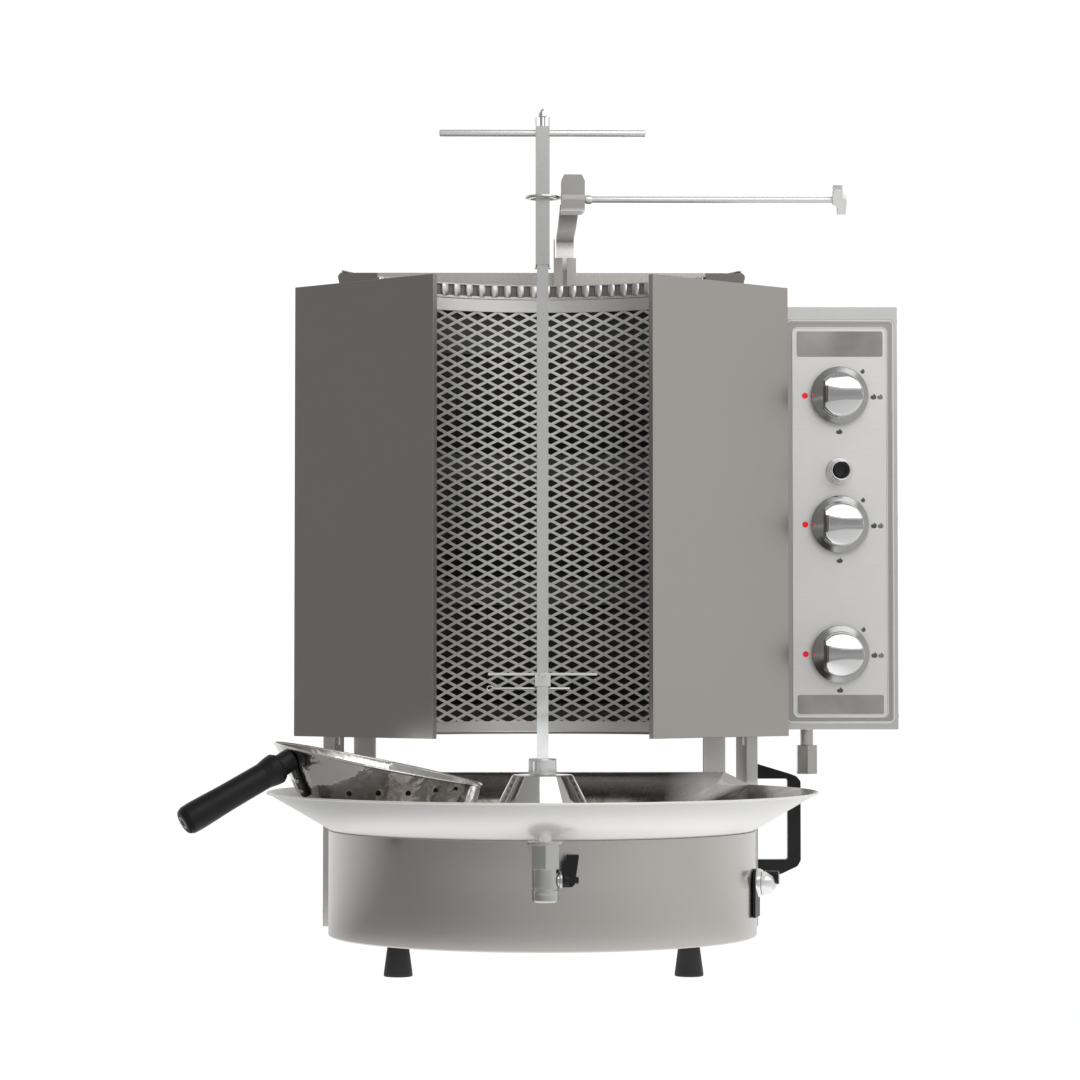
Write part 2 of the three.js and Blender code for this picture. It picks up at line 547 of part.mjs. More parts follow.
// ---- doors --------------------------------------------------------------------------
// Drawn in the door's own axes: x from the hinge edge inwards, y behind the face.
function doorBody(side) {
  const slab = (x0, x1, ...rest) => {
    const xs = [side * x0, side * x1].sort((a, b) => a - b);
    return box(xs[0], xs[1], ...rest);
  };
  const fold = 7;
  const panel = cut(slab(0, DOOR_W, 0, fold, DOOR_Z0, DOOR_Z1),
    slab(SHEET, DOOR_W - SHEET, SHEET, fold + 1, DOOR_Z0 + SHEET, DOOR_Z1 - SHEET));
  const leaf = slab(0, SHEET, 0, PIN_V, DOOR_Z0, DOOR_Z1);
  const knuckle = (z0, z1) => rod(5.2, [side * PIN_U, PIN_V, z0], [side * PIN_U, PIN_V, z1], 12);
  const pinHole = rod(3.6, [side * PIN_U, PIN_V, 0], [side * PIN_U, PIN_V, 900], 12);
  const notches = [slab(-1, 22, 3.5, 30, DOOR_Z1 - 13, DOOR_Z1 + 1),
    slab(-1, 22, 3.5, 30, DOOR_Z0 - 1, DOOR_Z0 + 13)];
  return cut(join(panel, leaf, knuckle(690, 760), knuckle(282, 352)), pinHole, ...notches);
}

function addDoors() {
  for (const [suffix, side, finish] of [['left', -1, DARK_STEEL], ['right', 1, BRUSHED]]) {
    const hinge = new THREE.Group();
    hinge.position.set(side * PIN_X, PIN_Y, 0);
    hinge.rotation.z = side * DOOR_ANGLE;
    const door = piece(`door_${suffix}`, doorBody(-side), finish, hinge);
    door.position.set(side * PIN_U, -PIN_V, 0);
    group.add(hinge);

    const pin = rod(3, [side * PIN_X, PIN_Y, 264], [side * PIN_X, PIN_Y, 779], 12);
    const reach = (z) => {
      const xs = [side * 236.3, side * PIN_X].sort((a, b) => a - b);
      const arm = box(xs[0], xs[1], PIN_Y - 6, PIN_Y + 6, z, z + 3);
      const eye = rod(6, [side * PIN_X, PIN_Y, z], [side * PIN_X, PIN_Y, z + 3], 16);
      const pad = [side * 236.3, side * 238.3].sort((a, b) => a - b);
      const tail = box(pad[0], pad[1], PIN_Y - 1, PIN_Y + 24, z - 16, z + 14);
      return join(arm, eye, tail);
    };
    piece(`hinge_${suffix}`, join(pin, reach(774), reach(264)), BRUSHED);
  }
}

// ---- motor switch and carving pan ---------------------------------------------------
function addSwitch() {
  const mount = new THREE.Group();
  mount.rotation.z = SWITCH_ANGLE;
  group.add(mount);
  const outline = new THREE.Shape();
  outline.moveTo(-17, 61);
  outline.lineTo(17, 61);
  outline.absarc(0, SWITCH_Z - 1, 17, 0, Math.PI, false);
  const plate = prism(outline, DRUM_R + 0.4, DRUM_R + 3.8, 'x', 10);
  const at = (x) => [x, 0, SWITCH_Z];
  const collar = rod(16, at(DRUM_R + 3), at(DRUM_R + 9), 24, 15);
  const hole = rod(4.6, at(DRUM_R + 1.6), at(DRUM_R + 12), 14);
  piece('switch_plate', cut(join(plate, collar), hole), BLACK, mount);
  const stem = rod(4, at(DRUM_R + 2), at(DRUM_R + 12), 14);
  const skirt = rod(14, at(DRUM_R + 9.4), at(DRUM_R + 15), 20, 13.5);
  const grip = prism(roundedRect(-4.5, 4.5, SWITCH_Z - 13, SWITCH_Z + 13, 4.2),
    DRUM_R + 14, DRUM_R + 27, 'x', 5);
  piece('switch_knob', join(stem, skirt, grip), BLACK, mount);
}

// A sheared cone frustum: the rim stands further out on the handle's side.
function panBody(inset, top) {
  const wall = (PAN.rim - PAN.base) / PAN.depth;
  const depth = PAN.depth - inset;
  const base = PAN.base + wall * inset - inset;
  const rim = PAN.rim - inset + wall * top;
  const geometry = new THREE.CylinderGeometry(rim, base, depth + top, 40);
  geometry.rotateX(Math.PI / 2);
  geometry.translate(0, 0, (top - depth) / 2);
  const shear = -PAN.shift / PAN.depth;
  geometry.applyMatrix4(new THREE.Matrix4().set(
    1, 0, shear, 0, 0, 1, 0, 0, 0, 0, 1, 0, 0, 0, 0, 1));
  return solid(geometry);
}

function addPan() {
  const tilted = new THREE.Group();
  tilted.position.set(PAN.x, PAN.y, PAN.z);
  tilted.rotation.y = PAN_TILT;
  group.add(tilted);

  const holeZ = -PAN.depth + 17;
  const holes = [255, 277, 299, 321, 343].map((a) => {
    const [c, s] = [Math.cos(a * DEG), Math.sin(a * DEG)];
    return rod(2.8, [12 + 80 * c, 80 * s, holeZ], [12 + 125 * c, 125 * s, holeZ], 6);
  });
  piece('scoop_pan', cut(panBody(0, 0), panBody(SHEET, 1), ...holes), POLISHED, tilted);

  const [c, s] = [Math.cos(PAN_GRIP), Math.sin(PAN_GRIP)];
  const rimPoint = new THREE.Vector3(PAN.rim * c, PAN.rim * s, 0);
  const basePoint = new THREE.Vector3(PAN.shift + PAN.base * c, PAN.base * s, -PAN.depth);
  const down = basePoint.clone().sub(rimPoint).normalize();
  const around = new THREE.Vector3(-s, c, 0);
  const out = new THREE.Vector3().crossVectors(around, down).normalize();
  if (out.z > 0) out.negate();
  const onWall = (along, off) =>
    rimPoint.clone().addScaledVector(down, along).addScaledVector(out, off).toArray();
  const strip = new THREE.BoxGeometry(12, 3, 52);
  const basis = new THREE.Matrix4().makeBasis(around, out, down);
  strip.applyMatrix4(basis);
  strip.translate(...onWall(33, 3.2));
  const azimuth = 208 * DEG;
  const dip = 38.5 * DEG;
  const axis = new THREE.Vector3(Math.cos(azimuth) * Math.cos(dip),
    Math.sin(azimuth) * Math.cos(dip), -Math.sin(dip));
  const root = new THREE.Vector3(...onWall(15, 16));
  const grip = turnedAlong([[0, 0], [16.5, 0], [15, 24], [15.8, 121], [13, 125], [0, 125]],
    root, axis, 16);
  const neck = rod(9, onWall(16, 3), root.clone().addScaledVector(axis, 6).toArray(), 10);
  piece('scoop_handle', join(solid(strip), neck, grip), BLACK, tilted);
}

addFeet();
addBase();
addDrive();
addTray();
addTap();
addSpit();
addBurnerBody();
addBurners();
addPosts();
addArm();
addControlBox();
addIgniter();
addValves();
addDoors();
addSwitch();
addPan();

// The origin goes to the middle of the footprint, on the floor.
group.updateMatrixWorld(true);
const bounds = new THREE.Box3().setFromObject(group, true);
const middle = bounds.getCenter(new THREE.Vector3());
group.position.set(-middle.x, -middle.y, -bounds.min.z);

export default group;
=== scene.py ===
"""Looks of the vertical gas rotisserie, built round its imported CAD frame.

Meshes are drawn in millimetres about the spit's axis, +Z up and the front towards -Y,
and piece() turns them into metres in the frame's own place.
"""
from math import cos, pi, radians, sin, tan

import bmesh
import bpy
from mathutils import Matrix, Vector


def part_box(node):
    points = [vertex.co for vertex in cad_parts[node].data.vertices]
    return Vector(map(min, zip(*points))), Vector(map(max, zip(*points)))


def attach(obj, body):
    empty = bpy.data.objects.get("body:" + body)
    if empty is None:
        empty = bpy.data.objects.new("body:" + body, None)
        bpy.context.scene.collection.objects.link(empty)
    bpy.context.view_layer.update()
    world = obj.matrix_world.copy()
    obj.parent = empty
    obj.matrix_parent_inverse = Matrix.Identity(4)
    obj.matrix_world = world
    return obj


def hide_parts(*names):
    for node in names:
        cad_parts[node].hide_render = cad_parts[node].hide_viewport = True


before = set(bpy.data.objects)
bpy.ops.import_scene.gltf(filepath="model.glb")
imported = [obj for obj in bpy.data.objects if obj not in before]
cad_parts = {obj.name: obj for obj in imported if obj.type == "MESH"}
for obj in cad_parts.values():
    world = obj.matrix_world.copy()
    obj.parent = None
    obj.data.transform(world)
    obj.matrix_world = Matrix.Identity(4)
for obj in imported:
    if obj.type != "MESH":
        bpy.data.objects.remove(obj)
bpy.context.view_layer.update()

scene = bpy.context.scene
MM = 0.001
rod_low, rod_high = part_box("spit_rod")
SPIT = Vector(((rod_low.x + rod_high.x) / 2, (rod_low.y + rod_high.y) / 2, 0))

# ---- sizes shared with the CAD model, in millimetres ----
DRUM_R, DRUM_BACK, DRUM_BOTTOM, DRUM_TOP = 242, 200, 38, 155.8
SHEET = 1.5
TRAY_FLOOR, TRAY_FLOOR_R = 150, 229
TRAY_RIM_Z, TRAY_RIM_R, TRAY_BACK_Z = 198, 311, 211.5
TRAY_CORNER = Vector((250, 185, TRAY_RIM_Z))
TRAY_BACK_CORNER = Vector((222, 232, TRAY_BACK_Z))
WALL_R = 250
WALL_SPAN = radians(66)
OPENING_SPAN = radians(61)
FRAME_BOTTOM, FRAME_TOP, BAND_TOP = 260.5, 787, 804
OPENING_BOTTOM, OPENING_TOP = 273.5, 770.5
VENT_BOTTOM, VENT_TOP = 789.5, 802.5
VENT_PITCH, VENT_WIDE, RIB_WIDE = 16, 8.5, 9.2
BODY_BACK = 296
POST_BACK, REAR_BOX_BACK = 330, 340
CONTROL_X, CONTROL_BACK, CONTROL_SIDE = 342, 250, 420
VALVE_X = 351
VALVE_Z = (354.5, 507, 659)
IGNITER_Z = 570
LABEL_FACE = 125.2
SKIRT_Y = 119.6
SPINDLE_END = 164.5
ARM_Z = 873
LIFT_BAR_Z, LIFT_BAR_HALF = 949, 118
PIN_Z = 315.1
TAP_Y = -262
TAP_Z = 116
SWITCH_Z = 99
SWITCH_DEGREES = -13
PAN_PLACE = Vector((-183, -90, 233.2))
PAN_DEGREES = 11.5
PAN_RIM, PAN_BASE, PAN_SHIFT, PAN_DEPTH = 117, 94, 19, 57
PAN_HANDLE_ANGLE = radians(213)

FRONT, BACK = (0, -1, 0), (0, 1, 0)


# ---- shapes: each is (points, faces) ----
def polar(radius, angle, z=0.0):
    return Vector((radius * cos(angle), radius * sin(angle), z))


def on_arc(radius, angle, z=0.0):
    """Point about the spit; angle 0 is straight behind it, positive to the right."""
    return Vector((radius * sin(angle), radius * cos(angle), z))


def spaced(low, high, count):
    return [low + (high - low) * k / count for k in range(count + 1)]


def shift(x, y, z):
    return Matrix.Translation((x, y, z))


def turn(axis, degrees):
    return Matrix.Rotation(radians(degrees), 4, axis)


def moved(shape, matrix):
    verts, faces = shape
    return [matrix @ Vector(v) for v in verts], faces


def facing(origin, normal, up=(0, 0, 1)):
    """Frame whose z axis is the normal and whose y axis is as near to up as can be."""
    z = Vector(normal).normalized()
    x = Vector(up).cross(z)
    if x.length < 1e-6:
        x = Vector((1, 0, 0))
    x.normalize()
    rotation = Matrix((x, z.cross(x), z)).transposed().to_4x4()
    return shift(*origin) @ rotation


def fillet(points, steps=6, closed=True):
    """Outline from (a, b) or (a, b, radius) corners, with each corner rounded."""
    out = []
    count = len(points)
    for i, point in enumerate(points):
        here = Vector(point[:2])
        radius = point[2] if len(point) > 2 else 0
        if radius <= 0 or (not closed and i in (0, count - 1)):
            out.append(here)
            continue
        before = Vector(points[i - 1][:2]) - here
        after = Vector(points[(i + 1) % count][:2]) - here
        half = before.angle(after) / 2
        reach = min(radius / tan(half), 0.49 * before.length, 0.49 * after.length)
        start = here + before.normalized() * reach
        end = here + after.normalized() * reach
        middle = (before.normalized() + after.normalized()).normalized()
        centre = here + middle * (reach / cos(half))
        arm = start - centre
        turn = arm.angle_signed(end - centre)
        for k in range(steps + 1):
            c, s = cos(-turn * k / steps), sin(-turn * k / steps)
            out.append(centre + Vector((arm.x * c - arm.y * s, arm.x * s + arm.y * c)))
    return out


def skin(rings, closed=False, round_rings=True):
    """Quads between rings of points; round rings are capped at both ends unless closed."""
    count, total = len(rings[0]), len(rings)
    verts = [v for ring in rings for v in ring]
    faces = []
    for i in range(total if closed else total - 1):
        j = (i + 1) % total
        for k in range(count if round_rings else count - 1):
            m = (k + 1) % count
            faces.append((i * count + k, i * count + m, j * count + m, j * count + k))
    if round_rings and not closed:
        faces.append(tuple(range(count)))
        faces.append(tuple(reversed(range(len(verts) - count, len(verts)))))
    return verts, faces


def lathe(profile, sides=96, closed=False):
    """Profile of (radius, height) points turned about z."""
    rings = [[polar(p[0], 2 * pi * i / sides, p[1]) for p in profile] for i in range(sides)]
    verts, faces = skin(rings, True, closed)
    return verts, [face[:1] + face[:0:-1] for face in faces]


def turned(profile, sides, steps, closed=False):
    """Profile with rounded corners, turned about z; a closed one makes a ring."""
    return lathe(fillet(profile, steps, closed), sides, closed)


def sweep(section, frames, closed=False):
    """Closed 2D section carried through the frames."""
    return skin([[f @ Vector((s[0], s[1], 0)) for s in section] for f in frames], closed)


def prism(outline, depth, place=Matrix()):
    return sweep(outline, [place, place @ shift(0, 0, depth)])


def along(points, up=(0, 0, 1), closed=False):
    """Frames along a path, their x axis kept square to up."""
    frames = []
    last = len(points) - 1
    for i, point in enumerate(points):
        if closed:
            before, after = points[i - 1], points[(i + 1) % (last + 1)]
        else:
            before, after = points[max(i - 1, 0)], points[min(i + 1, last)]
        frames.append(facing(point, Vector(after) - Vector(before), up))
    return frames


def circle(radius, sides=12):
    return [polar(radius, 2 * pi * k / sides).to_2d() for k in range(sides)]


def rounded_rect(x0, x1, y0, y1, radius, steps=6):
    corners = [(x0, y0, radius), (x1, y0, radius), (x1, y1, radius), (x0, y1, radius)]
    return fillet(corners, steps)


def bar(start, end, radius, chamfer=0.6, sides=32):
    """Round bar with softened ends."""
    line = Vector(end) - Vector(start)
    profile = [(0, 0), (radius, 0, chamfer), (radius, line.length, chamfer), (0, line.length)]
    return moved(turned(profile, sides, 4), facing(start, line))


def block(x0, x1, y0, y1, z0, z1):
    return prism([(x0, y0), (x1, y0), (x1, y1), (x0, y1)], z1 - z0, shift(0, 0, z0))


def curved_sheet(r0, r1, angles, heights, present):
    """Wall about the z axis made of cells; an absent cell is a hole with its own sides."""
    columns, rows = len(angles) - 1, len(heights) - 1
    verts = [on_arc(r, a, h) for r in (r0, r1) for a in angles for h in heights]

    def corner(layer, i, j):
        return (layer * (columns + 1) + i) * (rows + 1) + j

    def is_there(i, j):
        return 0 <= i < columns and 0 <= j < rows and present(i, j)

    faces = []
    for i in range(columns):
        for j in range(rows):
            if not is_there(i, j):
                continue
            ring = [(i, j), (i + 1, j), (i + 1, j + 1), (i, j + 1)]
            faces.append(tuple(corner(0, *c) for c in ring))
            faces.append(tuple(corner(1, *c) for c in reversed(ring)))
            beside = [(i, j - 1), (i + 1, j), (i, j + 1), (i - 1, j)]
            for k in range(4):
                if not is_there(*beside[k]):
                    a, b = ring[k], ring[(k + 1) % 4]
                    faces.append((corner(0, *a), corner(1, *a), corner(1, *b), corner(0, *b)))
    return verts, faces


# ---- objects ----
def add_object(name, data):
    obj = bpy.data.objects.new(name, data)
    scene.collection.objects.link(obj)
    return obj


def as_bmesh(shape, number=0):
    bm = bmesh.new()
    made = [bm.verts.new(v) for v in shape[0]]
    for f in shape[1]:
        bm.faces.new([made[k] for k in f]).material_index = number
    return bm


def piece(name, shapes, finish, body, replaces=(), bevel=0.0, sharp=35, place=Matrix()):
    """One object from shapes in millimetres; (shape, n) takes the finish numbered n."""
    whole = bmesh.new()
    for entry in shapes:
        (verts, faces), number = entry if isinstance(entry[1], int) else (entry, 0)
        part = as_bmesh(([SPIT + place @ Vector(v) * MM for v in verts], faces), number)
        bmesh.ops.remove_doubles(part, verts=part.verts, dist=2e-6)
        bmesh.ops.dissolve_degenerate(part, edges=part.edges, dist=1e-6)
        bmesh.ops.recalc_face_normals(part, faces=part.faces)
        loose = [v for v in part.verts if not v.link_faces]
        bmesh.ops.delete(part, geom=loose, context="VERTS")
        joined = bpy.data.meshes.new(name)
        part.to_mesh(joined)
        whole.from_mesh(joined)
        part.free()
        bpy.data.meshes.remove(joined)
    mesh = bpy.data.meshes.new(name)
    whole.to_mesh(mesh)
    whole.free()
    finishes = finish if isinstance(finish, list) else [finish]
    return placed(name, mesh, finishes, body, replaces, bevel, sharp)


def placed(name, mesh, finishes, body, replaces=(), bevel=0.0, sharp=35):
    for material in finishes:
        mesh.materials.append(material)
    mesh.shade_smooth()
    mesh.set_sharp_from_angle(angle=radians(sharp))
    obj = add_object(name, mesh)
    if bevel:
        soften(obj, bevel)
    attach(obj, body)
    if replaces:
        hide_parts(*replaces)
    return obj


def soften(obj, width, segments=3):
    edges = obj.modifiers.new("edges", "BEVEL")
    edges.width = width * MM
    edges.segments = segments
    edges.limit_method = "ANGLE"
    edges.angle_limit = radians(38)
    edges.harden_normals = True
    return edges


# ---- material nodes ----
def put(tree, target, values):
    """Sets inputs of a node: to constants, or to what another node puts out."""
    for key, value in values.items():
        socket = target.inputs[key]
        if isinstance(value, bpy.types.NodeSocket):
            tree.links.new(value, socket)
        elif socket.type == "RGBA":
            socket.default_value = (*value, 1)
        else:
            socket.default_value = value


def node(tree, kind, values=None, **settings):
    made = tree.nodes.new("ShaderNode" + kind)
    for key, value in settings.items():
        setattr(made, key, value)
    put(tree, made, values or {})
    return made


def new_material(name):
    material = bpy.data.materials.new(name)
    material.use_nodes = True
    tree = material.node_tree
    shader = next(n for n in tree.nodes if n.type == "BSDF_PRINCIPLED")
    return material, tree, shader


def own_place(tree):
    """Place on the object, in metres."""
    return node(tree, "TexCoord").outputs["Object"]


def axes_of(tree, vector):
    return node(tree, "SeparateXYZ", {0: vector}).outputs


def noise(tree, scale, detail=4.0, stretch=(1, 1, 1), roughness=0.5):
    """Noise over the object's own place, in features per metre."""
    mapped = node(tree, "Mapping", {"Vector": own_place(tree), "Scale": stretch})
    return node(tree, "TexNoise", {"Vector": mapped.outputs["Vector"], "Scale": scale,
                                   "Detail": detail, "Roughness": roughness}).outputs["Fac"]


def spread(tree, value, low, high, start=0.3, end=0.7):
    """Takes start to low and end to high, and stays between them outside."""
    return node(tree, "MapRange", {"Value": value, "From Min": start, "From Max": end,
                                   "To Min": low, "To Max": high}).outputs["Result"]


def blend(tree, factor, first, second):
    mix = node(tree, "Mix", data_type="RGBA")
    put(tree, mix, {"Factor": factor, 6: first, 7: second})
    return mix.outputs[2]


def maths(tree, operation, first, second=0.0):
    return node(tree, "Math", {0: first, 1: second}, operation=operation).outputs[0]


def shade(color, factor):
    return tuple(min(1.0, c * factor) for c in color)


def relief(tree, shader, height, strength, distance, under=None):
    values = {"Height": height, "Strength": strength, "Distance": distance}
    if under is not None:
        values["Normal"] = under
    normal = node(tree, "Bump", values).outputs["Normal"]
    put(tree, shader, {"Normal": normal})
    return normal


# ---- finishes ----
EVEN = (1, 1, 1)
UPRIGHT = (22, 22, 0.6)      # grain that runs up and down
LEVEL = (0.6, 0.6, 22)       # grain that runs round
BOUNCE = (1, 0.985, 0.96)    # light that a white studio throws into a deep shade
STEEL = (0.61, 0.582, 0.56)
DULL_STEEL = (0.42, 0.415, 0.405)

# Stretches over which a look fades from one finish to the next, in metres; for the arm and the
# tray they bound painted light and shade.
ARM_BEND_Z, ARM_HEAD_Z = (0.826, 0.846), (0.852, 0.862)
TRAY_BAND_Z = (0.185, 0.202)
TRAY_CORNER_X, TRAY_CORNER_Y = (0.135, 0.185), (0.172, 0.19)


def metal(name, color, roughness, grain=EVEN, streak=0.03, depth=0.000002, cloud=0.03,
          scale=60, metallic=1.0, glow=0.0):
    """Worked metal: fine stretched grain in gloss and relief, broad soft tone changes.

    The glow stands for light bounced into a face that lies in deep shade.
    """
    material, tree, shader = new_material(name)
    fine = noise(tree, scale, 6, grain, 0.65)
    broad = noise(tree, 7, 3)
    smear = noise(tree, 22, 5, (1, 1, 0.5))
    tone = blend(tree, broad, shade(color, 1 - cloud), shade(color, 1 + cloud))
    tone = blend(tree, spread(tree, fine, 0, 0.5), tone, shade(color, 1.06))
    gloss = maths(tree, "ADD", spread(tree, fine, roughness - streak, roughness + streak),
                   spread(tree, smear, -0.3 * streak, 0.6 * streak))
    put(tree, shader, {"Base Color": tone, "Roughness": gloss, "Metallic": metallic})
    if glow:
        put(tree, shader, {"Emission Color": BOUNCE, "Emission Strength": glow})
    relief(tree, shader, fine, 0.35, depth)
    return material


def moulded(name, color, roughness, grit=1200, depth=0.00001, specular=0.5, glow=0.0):
    """Plastic, rubber or ink with a fine grain, handled smooth in patches; glow gives it light of
    its own, painted light.
    """
    material, tree, shader = new_material(name)
    wear = noise(tree, 16, 4)
    tone = blend(tree, spread(tree, wear, 0, 1), shade(color, 0.8), shade(color, 1.35))
    put(tree, shader, {
        "Base Color": tone, "Roughness": spread(tree, wear, roughness + 0.08, roughness - 0.08),
        "Specular IOR Level": specular, "Emission Color": color, "Emission Strength": glow})
    relief(tree, shader, noise(tree, grit, 3), 0.5, depth)
    return material


def label_finish(name, color):
    """Etched aluminium face: pale, satin, with a fine even sparkle."""
    material, tree, shader = new_material(name)
    fine = noise(tree, 60, 5, LEVEL)
    tone = blend(tree, spread(tree, fine, 0, 1), shade(color, 0.97), shade(color, 1.03))
    put(tree, shader, {"Base Color": tone, "Metallic": 0.55,
                       "Roughness": spread(tree, fine, 0.4, 0.5)})
    relief(tree, shader, fine, 0.25, 0.000006)
    return material


def tray_inside_finish():
    """Inside of the tray: steel drawn dark as painted shade, mottled with fat stain and specks;
    paler at the rim and the corners, which also glow, as painted light.
    """
    material, tree, shader = new_material("tray_inside")
    blotch = noise(tree, 26, 8, (1, 1, 1.6), 0.62)
    speck = noise(tree, 210, 4)
    # The dark base colours are painted shade for the dark the inside mirrors, mottled as fat
    # stain.
    shade_and_stain = blend(tree, spread(tree, blotch, 0, 1, 0.38, 0.62),
                    (0.085, 0.078, 0.068), (0.30, 0.285, 0.26))
    tone = blend(tree, spread(tree, speck, 0, 0.6, 0.5, 0.75), shade_and_stain, (0.04, 0.036, 0.03))
    axes = axes_of(tree, own_place(tree))
    # The rim band and the mitred corners are drawn paler and given a glow: painted light.
    band = spread(tree, axes["Z"], 0, 0.8, *TRAY_BAND_Z)
    aside = spread(tree, maths(tree, "ABSOLUTE", axes["X"]), 0, 1, *TRAY_CORNER_X)
    corner = maths(tree, "MULTIPLY", aside, spread(tree, axes["Y"], 0, 1, *TRAY_CORNER_Y))
    painted_light_mask = maths(tree, "MAXIMUM", band, corner)
    tone = blend(tree, painted_light_mask, tone, (0.5, 0.49, 0.47))
    lift = maths(tree, "MAXIMUM", spread(tree, corner, 0, 0.19, 0, 1),
                  spread(tree, band, 0, 0.02, 0, 0.8))
    put(tree, shader, {"Base Color": blend(tree, corner, tone, (0.86, 0.85, 0.83)),
                       "Metallic": spread(tree, painted_light_mask, 1, 0.3, 0, 1),
                       "Roughness": spread(tree, blotch, 0.34, 0.14),
                       "Emission Color": BOUNCE, "Emission Strength": lift})
    relief(tree, shader, speck, 0.3, 0.00012)
    return material


def arm_finish():
    """Cast arm: dull head; just under it the blade is paler and glows, painted light in the head's
    shadow, and lower down it fades back to the dull tone, painted shade towards its foot.
    """
    material, tree, shader = new_material("arm_steel")
    grain = noise(tree, 60, 4)
    axes = axes_of(tree, own_place(tree))
    head = spread(tree, axes["Z"], 0, 1, *ARM_HEAD_Z)
    bend = spread(tree, axes["Z"], 0, 1, *ARM_BEND_Z)
    # The blade is paler just under the head, painted light, and dull again below the bend, painted
    # shade.
    blade = blend(tree, bend, DULL_STEEL, (0.74, 0.73, 0.715))
    # lift is painted light: a glow on the blade in the head's shadow, fading out lower down.
    lift = maths(tree, "MINIMUM", spread(tree, head, 0.45, 0, 0, 1),
                  spread(tree, bend, 0.02, 0.45, 0, 1))
    put(tree, shader, {"Base Color": blend(tree, head, blade, DULL_STEEL),
                       "Metallic": spread(tree, head, 0.25, 0.9, 0, 1),
                       "Roughness": spread(tree, grain, 0.27, 0.33),
                       "Emission Color": BOUNCE, "Emission Strength": lift})
    relief(tree, shader, grain, 0.3, 0.000004)
    return material


def hammered_finish():
    """Thin polished sheet, softly dented all over."""
    material, tree, shader = new_material("hammered_steel")
    tone = blend(tree, noise(tree, 12, 3), (0.76, 0.74, 0.71), (0.95, 0.94, 0.92))
    scratch = noise(tree, 160, 6, (1, 6, 1))
    put(tree, shader, {"Base Color": tone, "Metallic": 1.0,
                       "Roughness": spread(tree, scratch, 0.06, 0.2)})
    dents = relief(tree, shader, noise(tree, 55, 2.5), 0.9, 0.0022)
    relief(tree, shader, scratch, 0.15, 0.0001, dents)
    return material


def plaque_finish():
    """Ceramic burner face drawn very dark, pierced by rows of small holes."""
    material, tree, shader = new_material("burner_plaque")
    holes = node(tree, "TexVoronoi", {"Vector": own_place(tree), "Scale": 330,
                                      "Randomness": 0.15}).outputs["Distance"]
    tone = blend(tree, spread(tree, noise(tree, 14, 5), 0, 1),
                 (0.035, 0.032, 0.029), (0.075, 0.07, 0.064))
    pierced = blend(tree, spread(tree, holes, 1, 0, 0.15, 0.3), tone, (0.004, 0.004, 0.004))
    put(tree, shader, {"Base Color": pierced, "Roughness": 0.9})
    relief(tree, shader, holes, 0.6, 0.0006)
    return material


brushed = metal("brushed_steel", STEEL, 0.28, UPRIGHT, depth=0.000004)
drum_finish = metal("drum_steel", STEEL, 0.24, LEVEL, 0.012, 0.0000004, 0.012)
frame_steel = metal("frame_steel", (0.8, 0.79, 0.77), 0.3, LEVEL)
pale_steel = metal("pale_steel", (0.88, 0.87, 0.85), 0.33, UPRIGHT)
box_steel = metal("box_steel", (0.72, 0.715, 0.7), 0.3, UPRIGHT)
satin = metal("satin_steel", (0.56, 0.555, 0.545), 0.3, UPRIGHT, 0.05, 0.00002)
plain_steel = metal("plain_steel", (0.56, 0.55, 0.53), 0.36, EVEN, 0.05, 0.00003, 0.05)
inner_steel = metal("heat_tinted_steel", (0.5, 0.48, 0.45), 0.38, LEVEL, 0.05, 0.00004, 0.12)
mesh_steel = metal("mesh_steel", (0.95, 0.945, 0.93), 0.35, EVEN, 0.04, 0.000004, metallic=0.8)
# Dark steel of the heat box liner: painted shade between the burner plaques.
liner_painted_shade = metal("liner_painted_shade_steel", (0.13, 0.125, 0.12), 0.55, LEVEL, 0.08, 0.00002, 0.3)
# Dark grey for the sheet behind the vent slots: painted shade.
vent_shade = metal("vent_shade", (0.26, 0.255, 0.25), 0.6, EVEN, 0.05, 0.00001, 0.1,
                   metallic=0.2)
# The corner caps are the same steel drawn much darker: painted shade.
cap_painted_shade = metal("cap_painted_shade", shade(STEEL, 0.37), 0.3, UPRIGHT, 0.01, 0.000001, 0.1)
# The two doors are one steel, each drawn darker by a set amount as painted shade for what it
# mirrors; the left one is darker still.
door_left_painted_shade = metal("door_left_painted_shade", shade(STEEL, 0.71), 0.3, UPRIGHT, 0.01,
                         0.000001, 0.015)
door_right_painted_shade = metal("door_right_painted_shade", shade(STEEL, 0.8), 0.36, UPRIGHT, 0.02,
                          cloud=0.02)
# The tray's outside gives off a faint glow: painted bounce light.
tray_outside = metal("tray_steel", (0.94, 0.935, 0.925), 0.42, LEVEL, depth=0.000001,
                     cloud=0.015, metallic=0.4, glow=0.09)
# The mitred flaps inside the tray glow: painted light in their deep shade.
tray_flap = metal("tray_flap", (0.78, 0.77, 0.75), 0.34, EVEN, 0.05, 0.00003, 0.1,
                  metallic=0.25, glow=0.36)
mirror = metal("mirror_steel", (0.78, 0.775, 0.76), 0.09, LEVEL, depth=0.00001)
chrome = metal("chrome", (0.86, 0.865, 0.87), 0.06, cloud=0.02)
bright_satin = metal("bright_satin", (0.96, 0.96, 0.955), 0.2, EVEN, 0.004, 0.0000001, 0.01,
                     metallic=0.6)
bar_chrome = metal("bar_chrome", (0.95, 0.95, 0.95), 0.1, EVEN, 0.01, 0.0000005, 0.01)
tap_chrome = metal("tap_chrome", (0.62, 0.62, 0.615), 0.12)
knob_skirt = metal("knob_skirt", (0.46, 0.46, 0.46), 0.2)
brass = metal("plated_brass", (0.5, 0.49, 0.465), 0.17, depth=0.000004)
